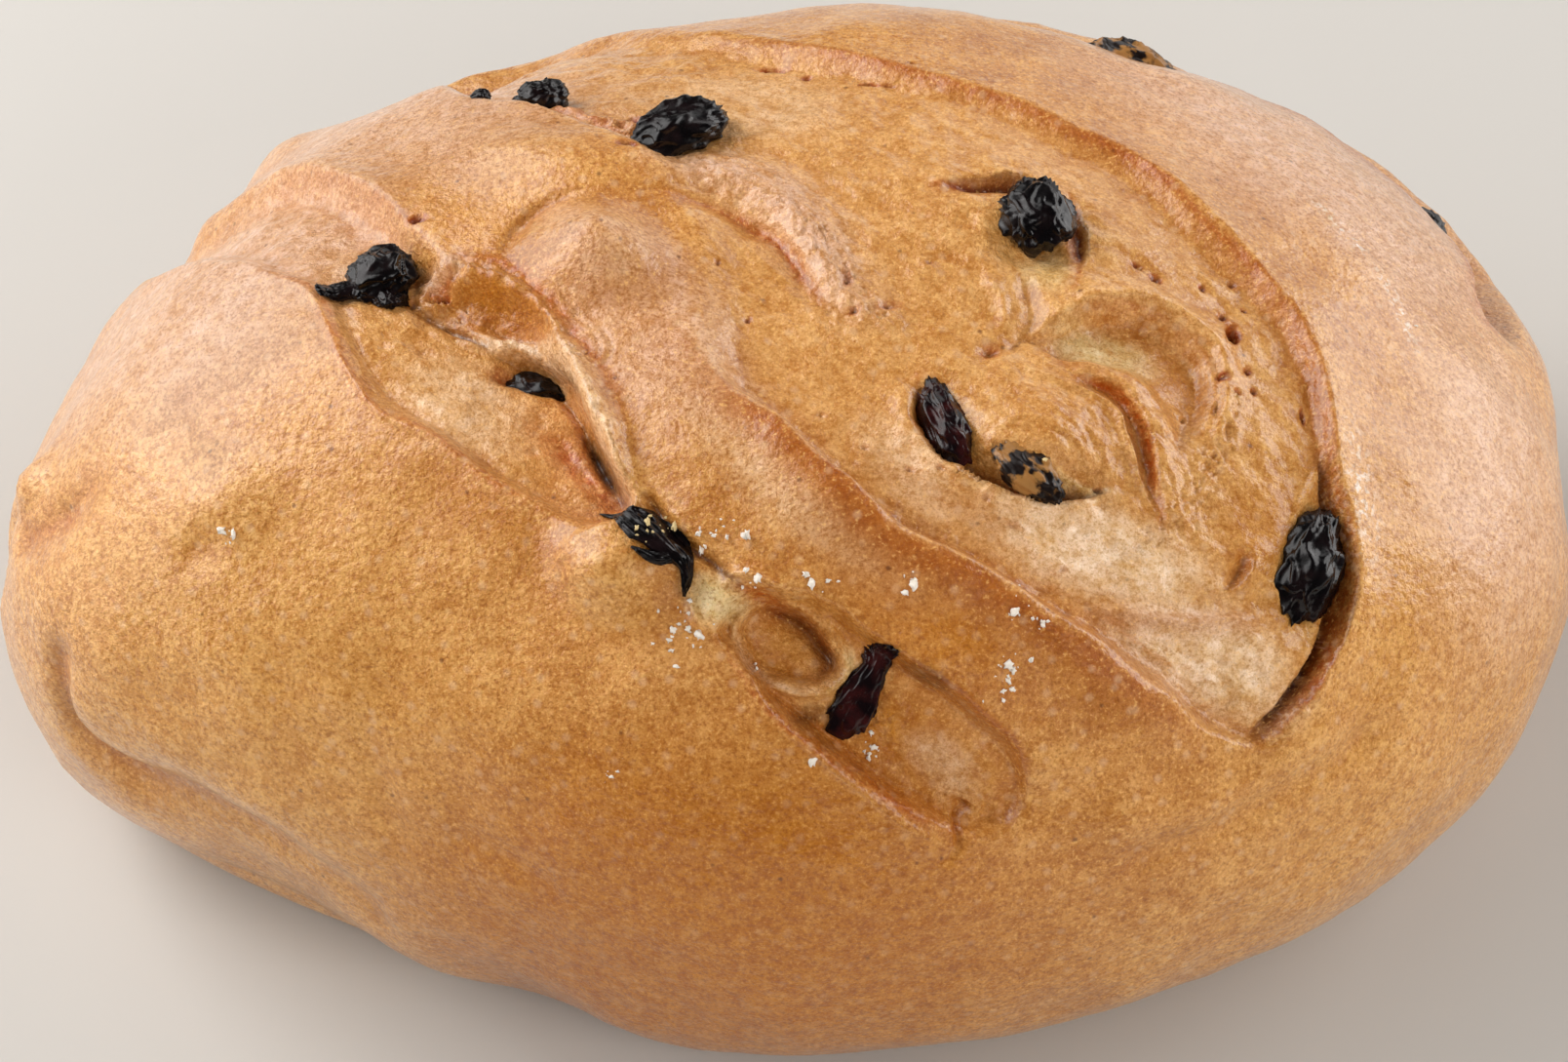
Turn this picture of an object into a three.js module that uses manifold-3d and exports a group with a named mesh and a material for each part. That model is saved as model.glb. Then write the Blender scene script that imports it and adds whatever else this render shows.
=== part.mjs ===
// Easter raisin bread: a hand-shaped oval loaf with three slanting slashes and raisins baked into
// its crust. Millimetres, +Z up. The loaf rests on its flat underside, and the origin is the middle
// of that underside. Places on the crust are [x, y] measured over the crust from the crown: the plan
// distance grows by a share of the drop below the crown, so that the steep sides are spread out too.
import * as THREE from "three";
import { mergeVertices } from "three/addons/utils/BufferGeometryUtils.js";
import Module from "manifold-3d";

const wasm = await Module();
wasm.setup();

// Driving dimensions of the loaf
const loafHeight = 88;
const widestLevel = 30;
const crown = { x: -12.2, y: -3.4 };
const halfLength = 106;
const halfWidth = 74;
const planTurn = 5;
const planWaves = [
  { times: 1, share: 0.145, turn: 18 },
  { times: 3, share: 0.018, turn: 57 },
  { times: 4, share: 0.011, turn: 32 },
  { times: 5, share: 0.02, turn: -19 },
];
const shoulderFullness = 0.77;
const domeFullness = 0.99;
const footShare = 0.73;
const footFullness = 0.9;
const footTurnIn = 0.24 * Math.PI;
const dropSpread = 0.7;
const reliefStart = 9;

// Facet sizes: fine at rims, ridges and raisins, coarse on plain crust and underneath
const fineEdge = 3.4;
const coarseEdge = 15;
const undersideEdge = 24;
const edgeGrowth = 0.7;
const swellingShare = 0.8;
const curveSteps = 8;

// Slashes and other sunken floors: rim points [x, y, wall width, depth] in a loop
const sunkenFloors = {
  nearSlash: [
    [-97, 23, 9, 5], [-79, 14, 8, 4], [-61, 3, 7, 3], [-50, -4, 4, 2.5], [-47, -12, 4, 2.5],
    [-41, -23, 4, 2.5], [-34, -31, 4, 2.5], [-25, -38, 4, 2.5], [-14, -45, 4, 2.5], [-8, -43, 3, 5],
    [-9, -35, 3, 6], [-12, -26, 3, 7], [-16, -17, 4, 8], [-21, -9, 6, 8], [-31, -3, 6, 6.5],
    [-38, 2, 6, 5], [-47, 13, 7, 4], [-62, 30, 8, 4], [-79, 39, 9, 5], [-97, 41, 9, 5],
  ],
  nearLobe: [
    [3, -61, 3, 3], [11, -71, 3, 4], [23, -80, 3, 4], [36, -86, 3, 3], [44, -88, 3, 2],
    [50, -86, 3, 2], [52, -81, 4, 2.5], [49, -75, 5, 3], [42, -70, 5, 3.5], [34, -66, 4, 4],
    [28, -62, 3.5, 4.5], [20, -57, 3, 4], [12, -54, 3, 3], [5, -56, 3, 2.5],
  ],
  wideSlash: [
    [-43, 51, 6, 3.5], [-36, 38, 5, 3.5], [-24, 30, 4, 3], [-15, 23, 4, 3], [-8, 15, 6, 2.5],
    [-3, 5, 9, 1.5], [-2, -7, 9, 1.5], [0, -18, 7, 2], [4, -25, 4, 3], [10, -30, 3, 4],
    [18, -39, 2.5, 4.5], [24, -45, 2.5, 4.5], [35, -50, 2.5, 4.5], [45, -54, 2.5, 4],
    [56, -59, 2.5, 4], [68, -64, 2.5, 3.5], [78, -68, 3, 3], [85, -68, 3, 3], [90, -65, 2.5, 5],
    [96, -55, 2, 7], [96, -43, 2, 7], [90, -29, 2.5, 6.5], [87, -20, 5, 5], [82, -10, 6, 4.5],
    [76, 0, 6, 4.5], [68, 10, 6, 4], [62, 19, 5, 3.5], [51, 26, 5, 3], [38, 33, 4, 2.5],
    [25, 39, 4, 2.5], [10, 49, 6, 2], [-4, 61, 8, 1.5], [-14, 72, 8, 2], [-30, 80, 8, 4],
    [-50, 73, 7, 5],
  ],
  coilHollow: [
    [43, -14, 2, 1.5], [47, -12, 3, 1.8], [53, -10, 3, 2], [60, -12, 3, 2], [65, -17, 3, 2],
    [67, -23, 4, 2], [66, -30, 5, 2], [63, -37, 5, 1.5], [60, -36, 2, 2.5], [59, -31, 2, 3.5],
    [57, -26, 2, 3.5], [51, -22, 2, 3.5], [46, -19, 2, 3],
  ],
  farSlash: [
    [40, 72, 9, 3], [54, 66, 8, 3.5], [69, 62, 6, 4], [86, 57, 4, 5], [101, 48, 4, 6],
    [114, 39, 4, 6], [120, 28, 4, 6], [122, 14, 4, 5], [130, 14, 6, 4], [135, 34, 7, 4],
    [127, 52, 8, 4], [114, 71, 8, 4], [94, 87, 8, 4], [68, 91, 8, 3.5], [44, 88, 8, 3],
  ],
};

// Ridges (height above 0) and furrows (below 0): path points [x, y, height], with how far each runs
// out on the left and on the right of its path
const welts = {
  stripRoll: {
    left: 10, right: 10,
    path: [[-5, -29, 1.5], [3, -40, 2.5], [15, -51, 2.5], [30, -61, 2], [47, -68, 1.5], [62, -75, 0.5]],
  },
  browned: {
    left: 1.5, right: 6,
    path: [[2, -23, 0], [10, -30, 2], [18, -39, 2.5], [24, -45, 2.5], [35, -51, 2], [45, -55, 2],
      [56, -60, 2], [68, -65, 1.5], [78, -69, 0]],
  },
  nearLip: {
    left: 1.5, right: 7,
    path: [[-52, -2, 0], [-48, -13, 1], [-41, -23, 1.2], [-34, -32, 1.2], [-25, -39, 1.2],
      [-15, -46, 0]],
  },
  wideLip: {
    left: 7, right: 1.5,
    path: [[51, 26, 0], [62, 19, 0.8], [76, 0, 1], [87, -20, 1.2], [91, -29, 1.5], [97, -43, 1.8],
      [97, -56, 1.5], [91, -66, 0]],
  },
  gapUnderLip: {
    left: 1.8, right: 1.8,
    path: [[86, -26, 0], [90, -33, -4], [93, -43, -5], [93, -54, -4], [88, -63, -2], [86, -67, 0]],
  },
  lobeLip: {
    left: 1.2, right: 4,
    path: [[2, -63, 0], [10, -72, 1], [23, -81, 1.2], [36, -88, 0.8], [44, -90, 0]],
  },
  lobeBrow: {
    left: 5, right: 1.5,
    path: [[24, -59, 0], [34, -65, 1], [42, -70, 0.6], [51, -78, 0]],
  },
  tornStrand: {
    left: 1.8, right: 1.8,
    path: [[-27, -15, 1], [-21, -19, 3], [-15, -23, 3.5], [-12, -29, 3.5], [-10, -35, 3.5],
      [-9, -41, 2.5]],
  },
  crackByStrip: {
    left: 1.2, right: 1.2,
    path: [[-6, -42, -1.5], [-1, -48, -2], [4, -52, -1.5]],
  },
  roughBridge: {
    left: 3.5, right: 3.5,
    path: [[-8, 12, 1], [0, 12, 2.5], [6, 10, 2.5], [12, 6, 2.5], [17, -1, 2.5], [21, -8, 2],
      [26, -13, 1]],
  },
  bridgeFurrow: {
    left: 1.5, right: 1.5,
    path: [[-4, 9, -0.5], [4, 4, -1.5], [10, -1, -1.8], [13, -7, -1.5], [18, -12, -1]],
  },
  farTear: {
    left: 1.4, right: 1.4,
    path: [[-20, 31, 1.5], [-14, 27, 2], [-8, 23, 1.5]],
  },
  coilBrow: {
    left: 3, right: 1.2,
    path: [[41, -14, 0], [46, -11, 1], [50, -9, 1.5], [55, -8, 1.5], [62, -11, 1.5], [67, -16, 1.5],
      [69, -22, 1.2], [68, -28, 0.8], [66, -33, 0]],
  },
  bowlFurrow: {
    left: 4, right: 1.3,
    path: [[28, -22, 0], [30, -31, -3], [33, -36, -4], [38, -40, -4], [43, -42, -3.5], [51, -41, -3],
      [58, -38, 0]],
  },
  bowlLip: {
    left: 3, right: 3,
    path: [[26, -26, 0.5], [29, -34, 1], [35, -41, 1.2], [43, -44, 1.2], [53, -43, 0.8]],
  },
  foldBand: {
    left: 2.5, right: 2.5,
    path: [[46, -53, 0.6], [56, -56, 1], [67, -56, 1], [79, -52, 0.6]],
  },
  bridgeCrease: {
    left: 1.3, right: 1.3,
    path: [[41, -14, -1], [43, -9, -1.2], [42, -4, -1]],
  },
  openCrack: {
    left: 1.3, right: 1.3,
    path: [[31, 11, -2], [36, 11, -3], [40, 12, -3]],
  },
  hornFurrow: {
    left: 3, right: 3,
    path: [[-110, -24, -1], [-100, -26, -1.5], [-92, -25, -0.5]],
  },
  footCrease: {
    left: 3, right: 3,
    path: [[-109, -44, -1.5], [-116, -50, -2], [-112, -60, -2.5], [-95, -72, -2], [-81, -82, -1.5],
      [-67, -93, -1]],
  },
  frontCrease: {
    left: 2, right: 2,
    path: [[-42, -87, -0.4], [-33, -92, -0.7], [-26, -97, -0.4]],
  },
  sideCrease: {
    left: 3, right: 3,
    path: [[-54, -69, -0.3], [-54, -77, -0.6], [-55, -86, -0.3]],
  },
  rightFold: {
    left: 2.5, right: 2.5,
    path: [[72, -86, -0.8], [84, -80, -1], [92, -74, -1], [105, -63, -0.8]],
  },
  rightRoll: {
    left: 5, right: 5,
    path: [[70, -82, 0.8], [84, -76, 1], [98, -66, 0.8]],
  },
};

// Rounded swellings and dips: [x, y, half length, half width, turn in degrees, height]
const swellings = {
  crownSwell: [-18, 14, 20, 12, -20, 2],
  dome: [-13, -2, 15, 13, 0, 3.5],
  floorSwell: [40, 10, 40, 26, -35, 2.5],
  raisinMound: [-11, -51, 12, 10, -20, 5],
  strandPocket: [-20, -23, 7, 4.5, -20, -3],
  sidePocket: [-25, -21, 3, 2.5, 0, -1.5],
  coil: [45, -28, 16, 13, -25, 3.5],
  filmDip: [-1, -55, 6, 5, 0, -1],
  crackPocket: [44, 2, 8, 7, 0, -2.5],
  halfMoon: [74, -45, 2.5, 4, 0, -2.5],
  bubbleHole: [38, -15, 2.6, 2, 0, -1.5],
  knot: [-35, -4, 3, 3, 0, 2],
  horn: [-108, -15, 8, 6, 0, 2.5],
  leftSwell: [-67, -34, 13, 11, 0, 1.6],
  leftDip: [-72, -40, 8, 5, 20, -1],
  footHollow: [-101, -77, 52, 19, -42, -4.5],
  frontHollow: [-38, -112, 28, 20, -15, -1.5],
  farHollow: [-45, 60, 22, 20, 0, -2.5],
  farSwell: [-75, 56, 14, 12, -40, 2.2],
  leftHollow: [-106, 4, 30, 28, 0, -1.8],
  leftNeck: [-96, 42, 12, 10, -50, -2],
  endHollow: [152, 2, 16, 26, 0, -2.2],
  hornNeck: [-124, -15, 10, 8, 0, -4],
  farFall: [66, 67, 44, 20, -20, -3.5],
};

// Open pores: [x, y, half length, half width, turn, height]
const pores = {
  large: [72, -8, 1.6, 2.2, 0, -3],
};

// The round dent that a burst bubble left, with a thin ring standing up round it
const bubbleDent = {
  x: 14, y: -63, halfLength: 8.5, halfWidth: 6.5, turn: -25,
  depth: 4, wall: 0.75, ring: 1.4, ringWidth: 0.14,
};

// Raisins: place, half sizes [along, across, thick], heading, height of the middle above the crust
const raisins = {
  raisin_01: { at: [-41, -2], half: [4.3, 3.8, 3.2], heading: 10, lift: 1.8 },
  raisin_02: { at: [-20, -21], half: [4.3, 3, 2.6], heading: -5, lift: 1.8 },
  raisin_05: { at: [-23, 34], half: [3.2, 3.2, 2.9], heading: 0, lift: 1.5 },
  raisin_06: { at: [-32, 36], half: [1.4, 1.2, 1.1], heading: 0, lift: 0.4 },
  raisin_07: { at: [-3, 21], half: [6.4, 4, 3.4], heading: 35, lift: 2.2 },
  raisin_08: { at: [44, 6], half: [5.6, 5.2, 3.6], heading: 70, lift: 1.6 },
  raisin_09: { at: [32, -27], half: [6.9, 3.1, 3], heading: -75, lift: 1.8 },
  raisin_10: { at: [43, -36], half: [5.4, 3.2, 2.6], heading: -40, lift: 1.4 },
  raisin_11: { at: [89, -42], half: [7.8, 4.7, 4], heading: 86, lift: 2.6 },
  raisin_12: { at: [67, 59], half: [6.3, 4, 3.6], heading: -20, lift: -1.4 },
  raisin_13: { at: [122, 45], half: [2.8, 2.4, 2.2], heading: -60, lift: 2 },
};

// Raisins torn flat and draped over the crust: path, half widths along it, half thickness
const drapedRaisins = {
  raisin_03: {
    path: [[-12, -45], [-6, -47], [-2, -51], [0, -57]], widths: [1, 2.6, 2.4, 1], thick: 0.9, lift: 0.5,
  },
  raisin_04: { path: [[28, -64], [25, -68], [22, -72]], widths: [3.2, 3.4, 3.4], thick: 1.1, lift: 0.3 },
};

// The long thin end of the first raisin
const raisinTail = {
  path: [[-43, -6], [-47, -5], [-50, -5]], widths: [1.6, 1.3, 1], thick: 1.1, lift: 0.8,
};

const raisinDetail = 2;
const wrinkleDepth = 0.09;
const pocketGap = 0.35;

const crustColor = 0xc98a4a;
const raisinColor = 0x1b1718;

const degrees = Math.PI / 180;

function smoothStep(value) {
  const t = THREE.MathUtils.clamp(value, 0, 1);
  return t * t * (3 - 2 * t);
}

function bell(value) {
  return Math.exp(-(value ** 2));
}

// Body: an oval plan made uneven by waves, scaled by a full, dome-like profile and turned in at the foot

function planRadius(azimuth) {
  let waves = 1;
  for (const { times, share, turn } of planWaves) {
    waves += share * Math.cos(times * (azimuth - turn * degrees));
  }
  const turned = azimuth - planTurn * degrees;
  return waves / Math.hypot(Math.cos(turned) / halfLength, Math.sin(turned) / halfWidth);
}

// Share of the plan radius and the height at an angle from straight up
function profileAt(polar) {
  if (polar <= Math.PI / 2) {
    const rise = Math.max(Math.cos(polar), 0) ** domeFullness;
    return {
      share: Math.sin(polar) ** shoulderFullness,
      z: widestLevel + (loafHeight - widestLevel) * rise,
    };
  }
  const below = polar - Math.PI / 2;
  if (below >= footTurnIn) {
    const inward = (below - footTurnIn) / (Math.PI / 2 - footTurnIn);
    return { share: footShare * (1 - inward), z: 0 };
  }
  const angle = (below / footTurnIn) * (Math.PI / 2);
  return {
    share: footShare + (1 - footShare) * Math.cos(angle) ** footFullness,
    z: widestLevel * (1 - Math.sin(angle) ** footFullness),
  };
}

function bodyPoint(azimuth, polar) {
  const { share, z } = profileAt(polar);
  const radius = planRadius(azimuth) * share;
  return new THREE.Vector3(crown.x + radius * Math.cos(azimuth), crown.y + radius * Math.sin(azimuth), z);
}

function bodyNormal(azimuth, polar) {
  const step = 0.004;
  const high = Math.max(polar, step * 2);
  const down = bodyPoint(azimuth, high + step).sub(bodyPoint(azimuth, high - step));
  const round = bodyPoint(azimuth + step, high).sub(bodyPoint(azimuth - step, high));
  return down.cross(round).normalize();
}

function crustPlace(point) {
  const plan = new THREE.Vector2(point.x - crown.x, point.y - crown.y);
  const distance = Math.max(plan.length(), 1e-6);
  return plan.multiplyScalar((distance + dropSpread * (loafHeight - point.z)) / distance);
}

// Azimuth and polar angle of a place on the crust, found by halving
function anglesAt(place) {
  const azimuth = Math.atan2(place.y, place.x);
  let low = 0;
  let high = Math.PI / 2 + footTurnIn;
  for (let step = 0; step < 40; step += 1) {
    const middle = (low + high) / 2;
    const reached = crustPlace(bodyPoint(azimuth, middle)).length();
    if (reached < place.length()) low = middle;
    else high = middle;
  }
  return { azimuth, polar: (low + high) / 2 };
}

// Relief: what the slashes, ridges and swellings add along the normal

// Points of a smooth curve through the given points, with their other values in between
function smoothCurve(points, closed) {
  const corners = points.map(([x, y]) => new THREE.Vector3(x, y, 0));
  const curve = new THREE.CatmullRomCurve3(corners, closed, "centripetal");
  const spans = closed ? points.length : points.length - 1;
  const samples = [];
  for (let step = 0; step <= spans * curveSteps; step += 1) {
    const at = step / curveSteps;
    const first = points[Math.floor(at) % points.length].slice(2);
    const second = points[(Math.floor(at) + 1) % points.length].slice(2);
    const { x, y } = curve.getPoint(step / (spans * curveSteps));
    const values = first.map((value, i) => THREE.MathUtils.lerp(value, second[i], at % 1));
    samples.push({ x, y, values });
  }
  return samples;
}

// Nearest point of a curve: its distance, the values there and the side of the path
function nearestOn(samples, place) {
  let best = { distance: Infinity, values: [], side: 0 };
  for (let i = 0; i + 1 < samples.length; i += 1) {
    const a = samples[i];
    const b = samples[i + 1];
    const dx = b.x - a.x;
    const dy = b.y - a.y;
    const along = ((place.x - a.x) * dx + (place.y - a.y) * dy) / (dx * dx + dy * dy);
    const t = THREE.MathUtils.clamp(along, 0, 1);
    const distance = Math.hypot(place.x - a.x - t * dx, place.y - a.y - t * dy);
    if (distance < best.distance) {
      const side = Math.sign(dx * (place.y - a.y) - dy * (place.x - a.x));
      const values = a.values.map((value, k) => THREE.MathUtils.lerp(value, b.values[k], t));
      best = { distance, values, side };
    }
  }
  return best;
}

function isInside(loop, place) {
  let inside = false;
  for (let i = 0; i + 1 < loop.length; i += 1) {
    const a = loop[i];
    const b = loop[i + 1];
    if (a.y > place.y !== b.y > place.y && place.x < ((b.x - a.x) * (place.y - a.y)) / (b.y - a.y) + a.x) {
      inside = !inside;
    }
  }
  return inside;
}

// The floor's depth is that of the rims round it, the nearer the more
function depthFromRims(loop, place) {
  let sum = 0;
  let weights = 0;
  for (const { x, y, values } of loop) {
    const weight = 1 / ((place.x - x) ** 2 + (place.y - y) ** 2 + 4);
    sum += weight * values[1];
    weights += weight;
  }
  return sum / weights;
}

function floorRelief(loop, place) {
  if (!isInside(loop, place)) return 0;
  const { distance, values } = nearestOn(loop, place);
  return -depthFromRims(loop, place) * smoothStep(distance / values[0]);
}

function weltRelief({ samples, left, right }, place) {
  const { distance, values, side } = nearestOn(samples, place);
  const width = side > 0 ? left : right;
  return values[0] * bell(distance / width);
}

// Place in an ellipse's own frame: 0 at its middle and 1 on its edge
function ellipseReach(place, x, y, halfLength, halfWidth, turn) {
  const middle = new THREE.Vector2(x, y);
  const offset = place.clone().rotateAround(middle, -turn * degrees).sub(middle);
  return Math.hypot(offset.x / halfLength, offset.y / halfWidth);
}

function swellingRelief([x, y, halfLength, halfWidth, turn, height], place) {
  const reach = ellipseReach(place, x, y, halfLength, halfWidth, turn);
  return height * smoothStep(1 - reach);
}

function dentRelief(place) {
  const { x, y, halfLength, halfWidth, turn, depth, wall, ring, ringWidth } = bubbleDent;
  const reach = ellipseReach(place, x, y, halfLength, halfWidth, turn);
  const bowl = -depth * smoothStep((1 - reach) / wall);
  return bowl + ring * bell((reach - 1) / ringWidth);
}

const floorLoops = Object.values(sunkenFloors).map((points) => smoothCurve(points, true));
const weltCurves = Object.values(welts).map(({ path, left, right }) => {
  return { samples: smoothCurve(path, false), left, right };
});
const roundForms = [...Object.values(swellings), ...Object.values(pores)];

function reliefAt(place) {
  let height = dentRelief(place);
  for (const loop of floorLoops) height += floorRelief(loop, place);
  for (const welt of weltCurves) height += weltRelief(welt, place);
  for (const form of roundForms) height += swellingRelief(form, place);
  return height;
}

function crustPoint(azimuth, polar) {
  const point = bodyPoint(azimuth, polar);
  const normal = bodyNormal(azimuth, polar);
  const height = reliefAt(crustPlace(point)) * smoothStep(point.z / reliefStart);
  return point.addScaledVector(normal, height);
}

// Net of facets: a sphere's directions, split until each edge is as short as its place asks for

function wantedEdge(point) {
  if (point.z < widestLevel / 3) return undersideEdge;
  const place = crustPlace(point);
  let wanted = coarseEdge;
  const allow = (distance, width) => {
    wanted = Math.min(wanted, Math.max(fineEdge, width) + edgeGrowth * Math.max(distance - width, 0));
  };
  for (const loop of floorLoops) {
    const { distance, values } = nearestOn(loop, place);
    allow(distance, values[0]);
  }
  for (const { samples, left, right } of weltCurves) {
    allow(nearestOn(samples, place).distance, Math.min(left, right));
  }
  const { x, y, halfLength, halfWidth, turn, ringWidth } = bubbleDent;
  const dentReach = ellipseReach(place, x, y, halfLength, halfWidth, turn);
  allow(Math.abs(dentReach - 1) * halfWidth, ringWidth * halfWidth);
  for (const [x, y, halfLength, halfWidth, turn] of roundForms) {
    const reach = ellipseReach(place, x, y, halfLength, halfWidth, turn);
    allow(Math.max(reach - 1, 0) * halfWidth, halfWidth * swellingShare);
  }
  return wanted;
}

function anglesToward(direction) {
  return {
    azimuth: Math.atan2(direction.y, direction.x),
    polar: Math.acos(THREE.MathUtils.clamp(direction.z, -1, 1)),
  };
}

function bodyPointToward(direction) {
  const { azimuth, polar } = anglesToward(direction);
  return bodyPoint(azimuth, polar);
}

function edgeKey(a, b) {
  return a < b ? `${a} ${b}` : `${b} ${a}`;
}

function edgesOf([a, b, c]) {
  return [[a, b, c], [b, c, a], [c, a, b]];
}

// Marks the edges that are too long, and the longest edge of every facet that has one
function edgesToSplit(net) {
  const length = ([a, b]) => net.points[a].distanceTo(net.points[b]);
  const marked = new Set();
  for (const facet of net.facets) {
    for (const edge of edgesOf(facet)) {
      const wanted = Math.min(net.wanted[edge[0]], net.wanted[edge[1]]);
      if (length(edge) > wanted) marked.add(edgeKey(edge[0], edge[1]));
    }
  }
  let grown = marked.size > 0;
  while (grown) {
    grown = false;
    for (const facet of net.facets) {
      const edges = edgesOf(facet).sort((a, b) => length(b) - length(a));
      const isMarked = ([a, b]) => marked.has(edgeKey(a, b));
      if (!isMarked(edges[0]) && edges.some(isMarked)) {
        marked.add(edgeKey(edges[0][0], edges[0][1]));
        grown = true;
      }
    }
  }
  return marked;
}

function addDirection(net, direction) {
  net.directions.push(direction);
  const point = bodyPointToward(direction);
  net.points.push(point);
  net.wanted.push(wantedEdge(point));
  return net.directions.length - 1;
}

function splitOnce(net) {
  const marked = edgesToSplit(net);
  const middles = new Map();
  for (const key of marked) {
    const [a, b] = key.split(" ").map(Number);
    middles.set(key, addDirection(net, net.directions[a].clone().add(net.directions[b]).normalize()));
  }
  const facets = [];
  const cut = (facet) => {
    const length = ([a, b]) => net.points[a].distanceTo(net.points[b]);
    const edges = edgesOf(facet).filter(([a, b]) => middles.has(edgeKey(a, b)));
    if (edges.length === 0) {
      facets.push(facet);
      return;
    }
    const [a, b, c] = edges.sort((one, two) => length(two) - length(one))[0];
    const middle = middles.get(edgeKey(a, b));
    cut([a, middle, c]);
    cut([middle, b, c]);
  };
  net.facets.forEach(cut);
  net.facets = facets;
  return marked.size > 0;
}

function indexedSphere(detail) {
  const sphere = new THREE.IcosahedronGeometry(1, detail);
  sphere.deleteAttribute("normal");
  sphere.deleteAttribute("uv");
  return mergeVertices(sphere, 1e-5);
}

function loafNet() {
  const start = indexedSphere(5);
  const places = start.getAttribute("position");
  const net = { directions: [], points: [], wanted: [], facets: [] };
  for (let i = 0; i < places.count; i += 1) {
    addDirection(net, new THREE.Vector3().fromBufferAttribute(places, i).normalize());
  }
  const corners = start.getIndex().array;
  for (let i = 0; i < corners.length; i += 3) {
    net.facets.push([corners[i], corners[i + 1], corners[i + 2]]);
  }
  let splitting = true;
  while (splitting) splitting = splitOnce(net);
  return net;
}

function loafGeometry() {
  const net = loafNet();
  const points = net.directions.map((direction) => {
    const { azimuth, polar } = anglesToward(direction);
    return crustPoint(azimuth, polar);
  });
  const geometry = new THREE.BufferGeometry().setFromPoints(points);
  geometry.setIndex(net.facets.flat());
  return geometry;
}

// Raisins

// Frame of the crust at a place: the point on it, its normal and the heading along it
function crustFrame(place, heading) {
  const { azimuth, polar } = anglesAt(place);
  const normal = bodyNormal(azimuth, polar);
  const ahead = new THREE.Vector3(Math.cos(heading * degrees), Math.sin(heading * degrees), 0);
  ahead.addScaledVector(normal, -ahead.dot(normal)).normalize();
  return { point: crustPoint(azimuth, polar), normal, ahead, aside: normal.clone().cross(ahead) };
}

function wrinkle(direction, phase) {
  const long = Math.sin(9 * direction.y + 3 * direction.z + phase) * Math.cos(4 * direction.x + phase);
  const cross = Math.sin(7 * direction.z - 5 * direction.x + 2 * phase);
  return 1 + wrinkleDepth * (long + 0.6 * cross);
}

function shapedSphere(toPoint) {
  const geometry = indexedSphere(raisinDetail);
  const places = geometry.getAttribute("position");
  for (let i = 0; i < places.count; i += 1) {
    const point = toPoint(new THREE.Vector3().fromBufferAttribute(places, i).normalize());
    places.setXYZ(i, point.x, point.y, point.z);
  }
  return geometry;
}

function plumpRaisin({ at, half, heading, lift }, gap) {
  const { point, normal, ahead, aside } = crustFrame(new THREE.Vector2(...at), heading);
  const phase = at[0] + at[1];
  return shapedSphere((direction) => {
    const scale = wrinkle(direction, phase);
    return point.clone()
      .addScaledVector(ahead, direction.x * (half[0] * scale + gap))
      .addScaledVector(aside, direction.y * (half[1] * scale + gap))
      .addScaledVector(normal, lift + direction.z * (half[2] * scale + gap));
  });
}

// A flat raisin that follows the crust along its path
function drapedRaisin({ path, widths, thick, lift }, gap) {
  const samples = smoothCurve(path.map(([x, y], i) => [x, y, widths[i]]), false);
  return shapedSphere((direction) => {
    const along = ((direction.x + 1) / 2) * (samples.length - 1);
    const step = Math.min(Math.floor(along), samples.length - 2);
    const here = samples[step];
    const next = samples[step + 1];
    const travel = new THREE.Vector2(next.x - here.x, next.y - here.y);
    const ahead = travel.clone().normalize();
    const ragged = 1 + 2 * wrinkleDepth * Math.sin(5 * direction.x + 3 * direction.y);
    const reach = direction.y * (here.values[0] * ragged + gap);
    const place = new THREE.Vector2(here.x, here.y)
      .addScaledVector(travel, along - step)
      .addScaledVector(ahead, direction.x * gap)
      .add(new THREE.Vector2(-ahead.y, ahead.x).multiplyScalar(reach));
    const { point, normal } = crustFrame(place, 0);
    return point.addScaledVector(normal, lift + direction.z * (thick + gap));
  });
}

// Solids and meshes

function toSolid(geometry) {
  return new wasm.Manifold(new wasm.Mesh({
    numProp: 3,
    vertProperties: new Float32Array(geometry.getAttribute("position").array),
    triVerts: new Uint32Array(geometry.getIndex().array),
  }));
}

function toGeometry(solid) {
  const { vertProperties, triVerts } = solid.getMesh();
  const geometry = new THREE.BufferGeometry();
  geometry.setAttribute("position", new THREE.BufferAttribute(vertProperties, 3));
  geometry.setIndex(new THREE.BufferAttribute(triVerts, 1));
  return geometry;
}

function raisinSolid(name, gap) {
  if (name in drapedRaisins) return toSolid(drapedRaisin(drapedRaisins[name], gap));
  const solid = toSolid(plumpRaisin(raisins[name], gap));
  return name === "raisin_01" ? solid.add(toSolid(drapedRaisin(raisinTail, gap))) : solid;
}

function namedMesh(name, solid, color, roughness) {
  const material = new THREE.MeshStandardMaterial({ color, roughness, metalness: 0 });
  const mesh = new THREE.Mesh(toGeometry(solid), material);
  mesh.name = name;
  return mesh;
}

const bread = new THREE.Group();
const raisinNames = [...Object.keys(raisins), ...Object.keys(drapedRaisins)].sort();
let loaf = toSolid(loafGeometry());
for (const name of raisinNames) {
  loaf = loaf.subtract(raisinSolid(name, pocketGap));
  bread.add(namedMesh(name, raisinSolid(name, 0), raisinColor, 0.35));
}
bread.add(namedMesh("loaf", loaf, crustColor, 0.5));

export default bread;
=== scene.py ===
import math
import random

import bmesh
import bpy
import numpy as np
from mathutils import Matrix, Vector, noise


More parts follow.
